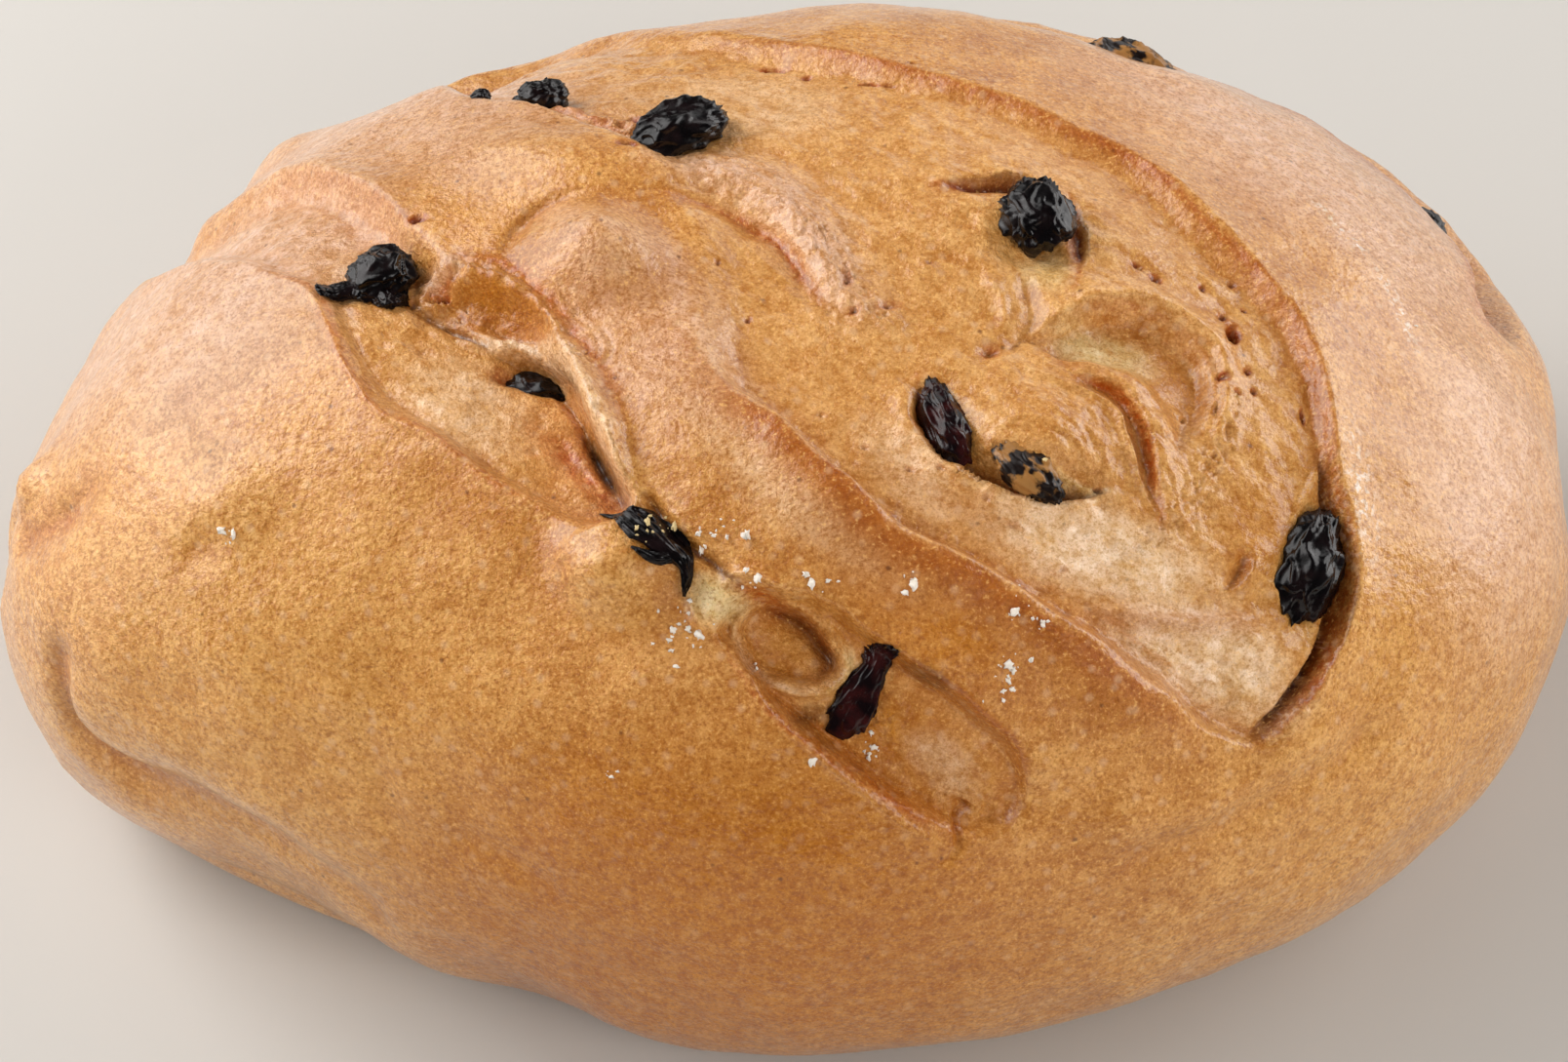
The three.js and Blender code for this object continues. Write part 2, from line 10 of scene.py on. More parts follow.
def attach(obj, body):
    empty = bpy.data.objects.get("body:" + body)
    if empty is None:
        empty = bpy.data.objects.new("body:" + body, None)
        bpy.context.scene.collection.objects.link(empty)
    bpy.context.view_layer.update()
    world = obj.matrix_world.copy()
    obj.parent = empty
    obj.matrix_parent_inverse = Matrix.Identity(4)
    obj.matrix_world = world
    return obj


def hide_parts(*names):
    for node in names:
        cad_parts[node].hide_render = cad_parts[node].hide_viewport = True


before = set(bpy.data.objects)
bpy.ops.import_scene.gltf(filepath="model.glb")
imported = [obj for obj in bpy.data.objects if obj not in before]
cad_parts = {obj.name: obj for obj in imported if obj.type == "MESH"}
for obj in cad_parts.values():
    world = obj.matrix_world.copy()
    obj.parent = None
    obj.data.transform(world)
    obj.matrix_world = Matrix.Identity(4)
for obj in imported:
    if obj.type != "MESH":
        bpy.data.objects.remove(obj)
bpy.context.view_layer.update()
mm = 0.001  # the values below are in millimetres, the objects in metres
noise.seed_set(3)  # the same wandering of rims and wrinkles in every run

# The loaf's body: an oval plan with small waves, scaled by a full dome and turned in at the foot
body = {
    "height": 88,
    "widestLevel": 30,
    "crown": (-12.2, -3.4),
    "halfLength": 106,
    "halfWidth": 74,
    "planTurn": 5,
    "planWaves": [(1, 0.145, 18), (3, 0.018, 57), (4, 0.011, 32), (5, 0.02, -19)],  # times round, share, turn
    "shoulderFullness": 0.77,
    "domeFullness": 0.99,
    "footShare": 0.73,
    "footFullness": 0.9,
    "footTurnIn": 0.24 * math.pi,
    "dropSpread": 0.7,
    "reliefStart": 9,
}

# All relief and colour is placed on a chart of the crust: millimetres from the crown, seen from above,
# spread outwards as the crust falls away, so that the steep sides have room too

# Sunken floors of the slashes: rim points (x, y, wall width, depth) on the chart
sunkenFloors = {
    "nearSlash": [
        (-97, 23, 11, 3), (-79, 14, 8, 3.4), (-61, 3, 3, 2.6), (-50.5, -5, 2, 1.4),
        (-47.4, -12.7, 1.8, 1.2), (-43.4, -22.5, 1.8, 1.2), (-35, -30, 1.8, 1.3), (-26, -38, 1.8, 1.5),
        (-15, -45.4, 2, 2.2), (-8, -43, 2, 5), (-9.4, -35, 2, 6), (-12.6, -26, 2, 7), (-15.5, -18, 2.2, 8),
        (-20, -10, 3.5, 8), (-30, -3, 4, 6.5), (-36.6, 4, 4, 5), (-45, 14.4, 3.4, 3.6),
        (-55.5, 25, 3.8, 3.2), (-64, 31.4, 4.5, 3.2), (-79, 39, 10, 3.8), (-97, 41, 11, 3),
    ],
    "nearLobe": [
        (3, -61, 2, 3), (11, -71, 1.6, 4), (23, -80, 1.6, 4), (36, -86, 1.8, 3), (44, -88, 1.8, 2),
        (50, -86, 1.8, 2), (52, -81, 2.2, 2.5), (49, -75, 2.6, 3), (42, -70, 2.4, 3.5), (34, -66, 2, 4.4),
        (28, -62, 1.8, 5), (20, -57, 2, 4), (12, -54, 2, 3), (5, -56, 2, 2.5),
    ],
    "wideSlash": [
        (-43, 51, 6, 3.5), (-36, 38, 5, 3.5), (-24, 30, 3, 3), (-15, 23, 3, 3), (-8, 15, 5, 2.5),
        (-3, 5, 9, 1.5), (-2, -7, 9, 1.5), (0, -18, 6, 2), (4, -25, 3, 3), (10, -30, 2.6, 4),
        (18, -38.5, 2.4, 4.5), (24, -43.8, 2.4, 4.5), (35, -49.2, 2.4, 4.5), (45, -54, 2.4, 4),
        (56, -59.5, 2.4, 4), (68, -64.6, 2.4, 3.5), (78, -68, 2, 3), (85, -68.2, 1.4, 2.4),
        (88.8, -65.2, 1, 1.2), (91.6, -61.2, 0.9, 1.2), (94.2, -56, 1, 1.5), (95.8, -50, 1.1, 2.4),
        (95.7, -43, 1.1, 2.6), (93.6, -36, 1, 2.6), (90.4, -30, 0.8, 2.6), (87.8, -24, 0.9, 2.2),
        (86, -14, 1.2, 2.2), (82, -5, 2.6, 2.3), (76, 3, 3.6, 2.3), (68, 11, 4.2, 2.4), (62, 19, 4.4, 2.3),
        (51, 26, 4.6, 2.2), (38, 33, 4.6, 2), (25, 39, 4.6, 2.5), (10, 49, 6, 2), (-4, 61, 8, 1.5),
        (-14, 72, 8, 2), (-30, 80, 8, 4), (-50, 73, 7, 5),
    ],
    "coilHollow": [
        (42, -12, 1.4, 1), (46.5, -10.2, 1.4, 1.8), (50.8, -8, 1.1, 2.6), (54, -7, 1, 3),
        (57.5, -6.9, 1, 3), (62, -8, 1.1, 3), (66.3, -10, 1.2, 3), (69.2, -14.4, 1.5, 2.6),
        (69.6, -21, 2.4, 2), (68, -28, 4, 1), (64, -31, 5, 0.6), (61, -24, 5, 1), (57, -18.5, 4, 1.6),
        (52, -16.5, 2.5, 2), (46, -15.5, 2, 1.8),
    ],
    "bubbleDent": [
        (6.3, -59.7, 1.2, 2.4), (8.5, -56.9, 1, 3.8), (11.8, -56.3, 1.2, 4.8), (16, -58, 1.3, 5.2),
        (19.8, -62.1, 1.2, 5), (21, -65, 1, 4), (18.8, -68.1, 1.4, 2.4), (13.8, -68.6, 1.6, 1.6),
        (9.5, -66.8, 1.6, 1.5), (6.9, -63.3, 1.3, 1.8),
    ],
    "farSlash": [
        (40, 72, 9, 3), (54, 66, 8, 3.5), (69, 62, 5, 4), (86, 57, 4, 5), (101, 48, 4, 5.4),
        (114, 39, 4, 5.4), (120, 28, 4, 5.4), (122, 14, 3, 5), (130, 14, 6, 4), (135, 34, 7, 4),
        (127, 52, 8, 4), (114, 71, 8, 4), (94, 87, 8, 4), (68, 91, 8, 3.5), (44, 88, 8, 3),
    ],
}

# Ridges (height above 0) and furrows (below 0): how far they run out left and right, and their path
welts = {
    "stripRoll": (10, 10, [
        (-5, -29, 1.5), (3, -40, 2.5), (15, -51, 2.5), (30, -61, 2), (47, -68, 1.5), (62, -75, 0.5),
    ]),
    "browned": (2, 6, [
        (2, -23, 0), (10, -30, 2), (18, -38.5, 2.5), (24, -43.8, 2.6), (35, -49.2, 2.4), (45, -54, 2.2),
        (56, -59.5, 2), (68, -64.6, 1.5), (78, -68, 0),
    ]),
    "nearLip": (0.7, 7, [
        (-52, -3, 0), (-48.6, -13, 0.6), (-43.8, -23, 0.7), (-35.4, -30.6, 0.8), (-26, -38.6, 0.9),
        (-16, -46, 0),
    ]),
    "wideLip": (5, 0.6, [
        (51, 26, 0), (62, 19, 0.6), (76, 3, 0.8), (86, -14, 0.8), (87.8, -24, 0.9), (93.6, -36, 1.1),
        (95.7, -46, 1.2), (94.2, -56, 1), (89.8, -64, 0.4),
    ]),
    "gapUnderLip": (0.7, 0.9, [
        (86.9, -24.5, 0), (88.9, -29.5, -2.2), (92.2, -36, -3.2), (94.2, -43, -3.4), (94.3, -50, -3.2),
        (93, -55.5, -2.4), (90.5, -60.4, -1.8), (88, -64.6, -1.4), (86, -67.4, -0.4),
    ]),
    "hollowByRaisin": (3, 3, [(85, -33, -0.3), (88.6, -40, -1.6), (90, -49, -1.4), (90.5, -54, -0.2)]),
    "lobeLip": (0.8, 4, [(2, -63, 0), (10, -72, 0.6), (23, -81, 0.7), (36, -88, 0.5), (44, -90, 0)]),
    "lobeBrow": (5, 0.9, [(24, -59, 0), (34, -65, 1), (42, -70, 0.6), (51, -78, 0)]),
    "tornStrand": (1.5, 1.4, [
        (-29, -12.2, 1), (-26, -12.6, 2), (-22, -13.8, 3), (-17.9, -16.6, 3.5), (-15.2, -20.7, 3.5),
        (-13.5, -25, 3.5), (-11.9, -29.5, 3.5), (-10.3, -35, 3.2), (-9.3, -42, 2),
    ]),
    "crackByStrip": (1, 1, [(-6, -42, -1.5), (-1, -48, -2), (4, -52, -1.5)]),
    "roughBridge": (5, 2, [
        (-6, 13, 0.6), (0.5, 12.8, 1.7), (6, 11, 1.9), (11, 6.5, 1.9), (14.5, 1, 1.7), (17, -4, 1.3),
        (21, -9.5, 0.5),
    ]),
    "bridgeFurrow": (0.8, 2.4, [
        (-4, 9, -0.3), (1.7, 7.7, -0.9), (5.4, 5.9, -1.1), (9, 3.5, -1.2), (11.4, 0.5, -1.2),
        (13, -3.2, -1), (16, -7.5, -0.4),
    ]),
    "slashBrow": (0.8, 3, [
        (-35, 2, 0), (-41, 10.4, 0.6), (-45, 14.9, 0.9), (-49.5, 20, 0.9), (-55.5, 25.4, 0.9),
        (-64.6, 31.8, 0.7), (-74, 38, 0),
    ]),
    "farTear": (1.4, 1.4, [(-20, 31, 1.5), (-14, 27, 2), (-8, 23, 1.5)]),
    "coilBrow": (2.6, 0.5, [
        (43, -10.6, 0), (46.7, -9.1, 0.8), (50.8, -6.7, 1.3), (55, -5.7, 1.6), (59, -5.8, 1.6),
        (64, -7, 1.6), (68.6, -9.8, 1.6), (70.7, -14, 1.4), (71, -21, 1), (69.6, -28, 0),
    ]),
    "foldEdge": (4.5, 0.35, [
        (48, -17, 0), (50.5, -17.8, 0.8), (53.1, -18.1, 1.3), (55.8, -19.3, 1.5), (58.4, -22, 1.6),
        (60.3, -25.6, 1.6), (61.8, -30, 1.5), (62.8, -35, 1), (65, -41, 0.4),
    ]),
    "foldShade": (0.35, 1.1, [
        (49, -18.6, 0), (52.9, -19.2, -1), (55.2, -20.4, -1.3), (57.5, -23, -1.4), (59.3, -26.5, -1.4),
        (60.8, -31, -1.2), (61.8, -36, -0.6), (63, -40, 0),
    ]),
    "bowlFurrow": (4, 0.7, [
        (28, -20, 0), (29, -26, -2.5), (31.5, -30.8, -4), (35.5, -34.8, -4.2), (39.5, -37, -4.2),
        (44.5, -38.2, -4), (50, -37.6, -3), (56, -35.8, 0),
    ]),
    "bowlLip": (2.2, 2.2, [
        (27, -24, 0.5), (29.5, -31, 1), (35, -37, 1.2), (44, -40.6, 1.2), (52, -40, 0.8),
    ]),
    "foldBand": (1.2, 3, [
        (52, -54.6, 0.3), (59, -54.2, 1), (67, -53.8, 1.3), (73, -53, 1.3), (79, -51.4, 1),
        (84, -49.6, 0.3),
    ]),
    "domeArc": (0.7, 1.6, [
        (-25, -2, -0.2), (-23.4, 2, -0.7), (-20.6, 5.6, -0.7), (-17.6, 6.9, -0.6), (-13, 7.8, -0.1),
    ]),
    "bridgeCrease": (1.1, 1.1, [(41, -14, -1), (43, -9, -1.2), (42, -4, -1)]),
    "openCrack": (0.45, 2.2, [(30.7, 11.4, -0.3), (33, 11.7, -1.2), (36, 12.2, -2.2), (40.5, 13.3, -3)]),
    "gapByRaisin": (0.4, 1.4, [(49.2, 10.5, -0.5), (49.9, 6, -1.4), (49.9, 1, -1.3), (49.6, -1.4, -0.3)]),
    "hornFurrow": (3, 3, [(-110, -24, -1), (-100, -26, -1.5), (-92, -25, -0.5)]),
    "footCrease": (3, 3, [
        (-109, -44, -1.5), (-116, -50, -2), (-112, -60, -2.5), (-95, -72, -2), (-81, -82, -1.5),
        (-67, -93, -1),
    ]),
    "frontCrease": (2, 2, [(-42, -87, -0.4), (-33, -92, -0.7), (-26, -97, -0.4)]),
    "sideCrease": (3, 3, [(-54, -69, -0.3), (-54, -77, -0.6), (-55, -86, -0.3)]),
    "rightFold": (2.5, 2.5, [(72, -86, -0.8), (84, -80, -1), (92, -74, -1), (105, -63, -0.8)]),
    "rightRoll": (5, 5, [(70, -82, 0.8), (84, -76, 1), (98, -66, 0.8)]),
    # small folds, cuts and torn edges
    "nearRimLine": (0.5, 0.5, [
        (-62, 3, 0), (-51.5, -5.4, 0.5), (-48, -12.8, 0.6), (-43.6, -23.2, 0.6), (-35.4, -30.7, 0.5),
        (-25, -39.5, 0),
    ]),
    "nearRimCut": (0.4, 0.4, [
        (-60, 4, 0), (-49.4, -5, -0.25), (-46.2, -12.5, -0.3), (-42.2, -21.8, -0.2), (-34, -29, -0.25),
        (-24, -37.8, 0),
    ]),
    "wallFoldHigh": (0.8, 0.8, [(-32, -4, 0.4), (-26, -5.5, 1), (-21, -9, 1.1), (-17, -14, 0.8)]),
    "wallFoldLow": (0.7, 0.7, [(-31, -7, 0.3), (-27, -9, 0.9), (-22, -11.5, 0.9), (-18, -15, 0.5)]),
    "wallCut": (0.5, 0.5, [(-31, -5.5, -0.4), (-26, -7.5, -0.9), (-21, -10.5, -0.8), (-18, -14.5, -0.4)]),
    "underStrand": (0.7, 0.8, [
        (-27, -14, -0.5), (-22.4, -16, -1.4), (-18.8, -18.4, -2), (-16.8, -22, -2), (-15.2, -26.5, -2),
        (-13.8, -31, -2.2), (-12.2, -36, -1.8), (-10.4, -41, -1),
    ]),
    "strandSplit": (0.4, 0.4, [
        (-18.4, -17, -0.4), (-15.1, -21.5, -0.9), (-13.2, -27, -1), (-11, -34, -0.9), (-9.5, -41, -0.5),
    ]),
    "tearHole": (0.9, 0.9, [
        (-15.5, -27.3, -0.5), (-14.2, -31, -2.4), (-13, -33.8, -2.6), (-11.6, -37, -1.8),
        (-10.6, -40.5, -0.5),
    ]),
    "pleat": (1.3, 1.6, [(-20.5, -27, -0.3), (-18, -31, -1), (-15.2, -35, -1.4), (-11.8, -40.5, -1)]),
    "twistHigh": (0.8, 0.8, [(-38, -3.4, 0.5), (-35.2, -2.2, 1.2), (-31.5, -2.4, 1)]),
    "twistLow": (0.7, 0.7, [(-37, -6, 0.5), (-34, -6.2, 1.1), (-31, -5.2, 0.8)]),
    "underTwist": (0.7, 0.7, [(-38, -5.5, -0.8), (-34.5, -8, -1.6), (-31, -10.6, -1.6), (-28, -13, -0.8)]),
    "moundFrill": (0.8, 0.6, [(-20, -53, 0.1), (-17.5, -49, 0.3), (-14, -46.3, 0.6), (-9.5, -45.5, 0.6)]),
    "filmEdge": (0.5, 0.5, [(-1.5, -50, 0), (-1, -55, 0.7), (1.5, -59.5, 0.6), (5, -59.5, 0.3)]),
    "flapEdge": (0.8, 0.5, [(4, -52.3, 0.8), (8, -52.6, 1.3), (11, -54.5, 1.2), (15, -55.8, 0.5)]),
    "flapHollow": (0.9, 0.9, [(6, -54.4, -0.8), (9, -55.4, -1.6), (11.5, -56.6, -0.6)]),
    "lobeRimLine": (0.5, 0.5, [
        (4, -63, 0), (11, -71.8, 0.4), (23, -81, 0.5), (34, -86.6, 0.5), (42, -89.4, 0),
    ]),
    "lobeRimCut": (0.5, 0.5, [
        (10, -69.5, 0), (15, -73.5, -0.4), (23, -78.6, -0.4), (34, -84.2, -0.3), (40, -87, 0),
    ]),
    "lobeTear": (0.6, 0.6, [
        (40.5, -84.5, -0.4), (43, -84.6, -1.2), (41.4, -86.4, -1.2), (42, -89, -0.8), (40.5, -91, -0.3),
    ]),
    "lobeTearLip": (0.6, 0.6, [(42.6, -83.6, 0.3), (45, -84, 0.8), (44, -86, 0.5)]),
    "foldStripLow": (0.8, 0.8, [(56, -54, 0.2), (64, -58.5, -0.8), (73, -62, -0.6), (80, -65, 0)]),
    "foldStripHigh": (0.6, 0.6, [(62, -57, 0.3), (70, -60.5, 0.8), (77, -64, 0.3)]),
    "ringAroundHollow": (0.5, 0.5, [
        (43, -18, 0.3), (50, -20.5, 0.8), (55, -23.5, 0.9), (58, -29, 0.9), (60, -34, 0.8), (64, -41, 0.2),
    ]),
    "bowlEdge": (0.4, 0.5, [
        (29.6, -29.6, 0.4), (34, -35, 0.9), (39, -38.2, 1), (45, -39.5, 1), (51, -38.8, 0.8),
        (56, -36.4, 0.3),
    ]),
    "membrane": (0.4, 0.9, [(46, -32.6, 0.3), (50, -35, 0.8), (54, -36.2, 0.6), (56, -35.8, 0.2)]),
    "moonEdge": (2.5, 0.3, [
        (75.5, -41, 0), (78, -41.6, 0.9), (78.9, -44, 1.2), (78, -46.6, 0.8), (76, -48, 0),
    ]),
    "moonHollow": (0.3, 1.8, [
        (76, -42, 0), (77.6, -42.8, -0.8), (78, -44.6, -1.1), (76.8, -46.8, -0.6), (75, -48, 0),
    ]),
    "layerEdge": (0.4, 1.6, [(84.2, -36, 0.2), (85.6, -31.8, 0.9), (86.5, -28, 0.9), (87, -25.5, 0.4)]),
    "dentCrease": (0.5, 1.6, [
        (10, -57.6, -0.2), (12.2, -58.3, -0.7), (14.5, -59.3, -0.9), (17.3, -61.9, -0.9), (19, -63.9, -0.8),
        (20, -65.6, -0.3),
    ]),
    "dentRim": (0.5, 0.6, [
        (7.4, -57.6, 0.3), (5.6, -60, 0.9), (6, -63.8, 1.1), (8.8, -67.6, 1.2), (13.6, -69.5, 1.3),
        (19, -69.1, 1.3), (22, -65.6, 1.1), (20.8, -61.6, 0.8), (16.8, -57.3, 0.5), (12, -55.4, 0.5),
    ]),
    "smallFoldNearCrack": (0.6, 0.6, [(37, -4, 0.3), (39, -7, 0.8), (39.5, -11, 0.4)]),
}

# Rounded swellings and dips: x, y, half length, half width, turn in degrees, height
swellings = {
    "crownSwell": (-18, 14, 20, 12, -20, 2),
    "dome": (-12.6, -2.2, 12.5, 10.5, -30, 4.8),
    "floorSwell": (40, 10, 40, 26, -35, 2.5),
    "raisinMound": (-11, -51, 12, 10, -20, 5),
    "strandPocket": (-21.8, -18.2, 6.4, 3, -14, -3),
    "sidePocket": (-26, -18, 2.6, 2, 20, -1.5),
    "coil": (45, -28, 16, 13, -25, 3.5),
    "filmDip": (-1, -55, 6, 5, 0, -1),
    "crackPocket": (44, 2, 8, 7, 0, -2.5),
    "bubbleHole": (38, -15, 2.6, 2, 0, -1.5),
    "knot": (-35, -4, 3, 3, 0, 1.5),
    "horn": (-108, -15, 8, 6, 0, 2.5),
    "leftSwell": (-67, -34, 13, 11, 0, 1.6),
    "leftDip": (-72, -40, 8, 5, 20, -1),
    "footHollow": (-101, -77, 52, 19, -42, -4.5),
    "frontHollow": (-38, -112, 28, 20, -15, -1.5),
    "farHollow": (-45, 60, 22, 20, 0, -2.5),
    "farSwell": (-75, 56, 14, 12, -40, 2.2),
    "leftHollow": (-106, 4, 30, 28, 0, -1.8),
    "leftNeck": (-96, 42, 12, 10, -50, -2),
    "endHollow": (152, 2, 16, 26, 0, -2.2),
    "hornNeck": (-124, -15, 10, 8, 0, -4),
    "farFall": (66, 67, 44, 20, -20, -3.5),
}

# Torn and stretched dough: reach either side, height, size of the fibres across and along, and their path
fibres = {
    "strand": (2, 0.6, 0.5, 5, [
        (-30, -12), (-24, -13.2), (-18.2, -16.6), (-14.8, -22), (-11.7, -31), (-9.3, -43),
    ]),
    "innerWall": (5, 0.5, 0.7, 3.5, [(-33, -5), (-26, -8), (-20, -11.5), (-15, -18)]),
    "twist": (4, 0.6, 1, 3, [(-39, -4), (-35, -5), (-30, -6)]),
    "bridge": (4.6, 0.3, 0.8, 1.8, [(-4, 14), (3, 12.5), (9, 9.5), (13.5, 4), (16.5, -2), (20, -9)]),
    "farTear": (2.5, 0.6, 0.8, 3, [(-21, 31), (-14, 27), (-7, 22)]),
    "swirlTear": (2.4, 0.5, 0.9, 2, [(72, -20), (71, -27), (68, -34), (62, -42), (57, -46)]),
    "bridgeSide": (2, 0.35, 0.8, 1.8, [(14, 4), (17, -1), (20, -6), (25, -12)]),
    "lobeMiddle": (3, 0.35, 1, 2.5, [(28, -73), (34, -77), (41, -81)]),
    "coilArcs": (4, 0.22, 1, 5, [(38, -23), (44, -19.8), (52, -20.6), (56.5, -26), (58.5, -34)]),
    "coilInner": (3.5, 0.2, 0.9, 4, [(40, -29), (46, -26.4), (51, -29), (52, -34)]),
    "floorSweep": (7, 0.2, 1.2, 8, [(24, -36), (36, -43), (50, -48.5), (64, -52), (82, -55)]),
    "rimEnd": (1.6, 0.7, 0.8, 1.8, [(93, -57), (91, -62), (88, -66)]),
    "stripFoot": (3, 0.35, 1, 4, [(-6, -43), (-1, -48), (5, -53)]),
    "foldBand": (5, 0.3, 1.1, 6, [(46, -54), (60, -58), (78, -62)]),
    "lobeEnd": (3, 0.4, 1, 2.5, [(38, -84), (46, -86)]),
    "coilSide": (4, 0.25, 1.1, 5, [(58, -21), (64, -30), (68, -40)]),
}

# Edges that lean over: reach outwards and inwards, direction in plan, and how far along their path
overhangs = {
    "wideRim": (6, 0.9, (-1, 0.15), [
        (87, -22, 0), (90.4, -30, 0.6), (93.6, -36, 0.7), (95.7, -43, 0.7), (95.8, -50, 0.8),
        (94.2, -56, 0.8), (91.6, -61.2, 0.5), (88.8, -65.2, 0),
    ]),
    "bowlEdge": (3, 0.6, (0.5, 0.85), [
        (28, -22, 0), (29.6, -29, 0.8), (35, -35.6, 1.5), (42, -39, 1.5), (50, -38.6, 1), (56, -36, 0),
    ]),
    "strand": (2, 0.6, (-0.8, -0.6), [
        (-24, -13, 0), (-18.4, -17, 0.8), (-14.8, -22, 1.2), (-12.4, -30, 1), (-9.8, -38, 0.3),
    ]),
    "nearRim": (3, 0.5, (0.7, 0.7), [(-52, -3, 0), (-47, -14, 0.5), (-38, -28, 0.6), (-26, -38.5, 0.4)]),
    "foldEdge": (3, 0.4, (-0.6, -0.8), [
        (50.5, -17.8, 0), (55.8, -19.3, 0.6), (60.3, -25.6, 0.6), (62.8, -35, 0),
    ]),
    "stripEdge": (4, 0.8, (0.45, 0.9), [
        (12, -32, 0), (24, -43.8, 0.4), (45, -54, 0.5), (68, -64.6, 0.3), (78, -68, 0),
    ]),
}

# Open pores: x, y, half length, half width, turn, height
pores = [
    (72, -8, 1.7, 2.3, 0, -3), (70.8, -5, 1.2, 0.8, 40, -1.2), (58, 0, 1, 0.8, 0, -1.1),
    (60.5, -1.5, 1.2, 0.9, 0, -1.3), (68, -1, 0.8, 0.7, 30, -1.1), (73, 1, 0.9, 0.8, 0, -1.3),
    (74.5, -3, 0.6, 0.5, 0, -1), (71, -16, 1.1, 0.8, 0, -1.3), (75, -14, 0.8, 0.9, 0, -1.3),
    (73, -18, 0.7, 0.6, 0, -1), (76, -17, 0.6, 0.7, 0, -1), (84, -19, 0.5, 1.5, 10, -1),
    (14.5, 38.5, 0.9, 0.8, 0, -1.5), (23, 35, 1.9, 0.6, -10, -1.4), (25.5, 34.5, 1.2, 0.4, -20, -0.8),
    (29, 38, 0.7, 0.5, 0, -0.8), (9.5, 42, 3, 0.9, -12, -1.5), (6.3, -11.5, 0.6, 0.9, 0, -0.7),
    (29.3, -1.6, 0.5, 0.5, 0, -0.7), (2.5, -3, 0.4, 0.8, 0, -0.5), (54, -36, 1.3, 0.7, -10, -1.3),
    (24, -8.5, 1.8, 0.9, 10, -0.7), (-9.5, 28, 1.6, 1, 0, -1.4), (-9.5, 16.5, 1.8, 0.8, -20, -1),
    (-37, 6, 1.6, 1.1, 10, -1.5), (-33, -5, 1.2, 0.6, -20, -1.2), (-41.5, -13.5, 0.9, 0.9, 0, -0.4),
    (-36, -14.5, 0.7, 1.2, 10, -0.3), (-22.5, -31.5, 1.5, 0.8, 0, -0.5), (66, -22, 0.5, 0.7, 0, -0.7),
    (19, -4.5, 0.8, 1.4, 10, -0.7), (20, -9.5, 1, 0.7, 20, -0.8), (28.4, -34.4, 0.8, 0.5, -30, -0.5),
    (32.4, -34.5, 0.9, 0.5, -30, -0.5), (38.8, -38.8, 0.9, 0.6, -20, -0.5), (43, -42.3, 1, 0.6, -20, -0.5),
    (51, -48.2, 1, 0.6, -20, -0.5), (22, -31, 0.8, 0.5, -40, -0.5), (16, -26, 0.9, 0.5, -50, -0.4),
    (27, -40, 0.8, 0.5, -40, -0.4), (34, -43.5, 0.8, 0.5, -30, -0.4),
]


def smoothStep(value):
    value = np.clip(value, 0, 1)
    return value * value * (3 - 2 * value)


def planRadius(azimuth):
    waves = 1
    for times, share, turn in body["planWaves"]:
        waves = waves + share * np.cos(times * (azimuth - math.radians(turn)))
    turned = azimuth - math.radians(body["planTurn"])
    return waves / np.hypot(np.cos(turned) / body["halfLength"], np.sin(turned) / body["halfWidth"])


def profileAt(polar):
    # share of the plan radius, and height, at an angle from straight up
    widest, foot, turnIn = body["widestLevel"], body["footShare"], body["footTurnIn"]
    upper = np.minimum(polar, math.pi / 2)
    rise = np.maximum(np.cos(upper), 0) ** body["domeFullness"]
    below = np.maximum(polar - math.pi / 2, 0)
    angle = np.clip(below / turnIn, 0, 1) * math.pi / 2
    share = foot + (1 - foot) * np.maximum(np.cos(angle), 0) ** body["footFullness"]
    inward = np.clip((below - turnIn) / (math.pi / 2 - turnIn), 0, 1)
    share = np.where(below >= turnIn, foot * (1 - inward), share)
    height = widest * (1 - np.sin(angle) ** body["footFullness"])
    isUpper = polar <= math.pi / 2
    share = np.where(isUpper, np.sin(upper) ** body["shoulderFullness"], share)
    return share, np.where(isUpper, widest + (body["height"] - widest) * rise, height)


def bodyPoint(azimuth, polar):
    share, z = profileAt(polar)
    radius = planRadius(azimuth) * share
    x = body["crown"][0] + radius * np.cos(azimuth)
    y = body["crown"][1] + radius * np.sin(azimuth)
    return np.stack([x, y, z], -1)


def bodyNormal(azimuth, polar):
    step = 0.004
    high = np.maximum(polar, 2 * step)  # keeps off the crown
    down = bodyPoint(azimuth, high + step) - bodyPoint(azimuth, high - step)
    around = bodyPoint(azimuth + step, high) - bodyPoint(azimuth - step, high)
    normal = np.cross(down, around)
    length = np.linalg.norm(normal, axis=-1, keepdims=True)
    return normal / np.maximum(length, 1e-9)  # none in the middle of the underside


def crustPlace(points):
    # where points of the crust lie on its chart
    plan = points[..., :2] - np.array(body["crown"])
    distance = np.maximum(np.linalg.norm(plan, axis=-1), 1e-6)
    spread = (distance + body["dropSpread"] * (body["height"] - points[..., 2])) / distance
    return plan * spread[..., None]


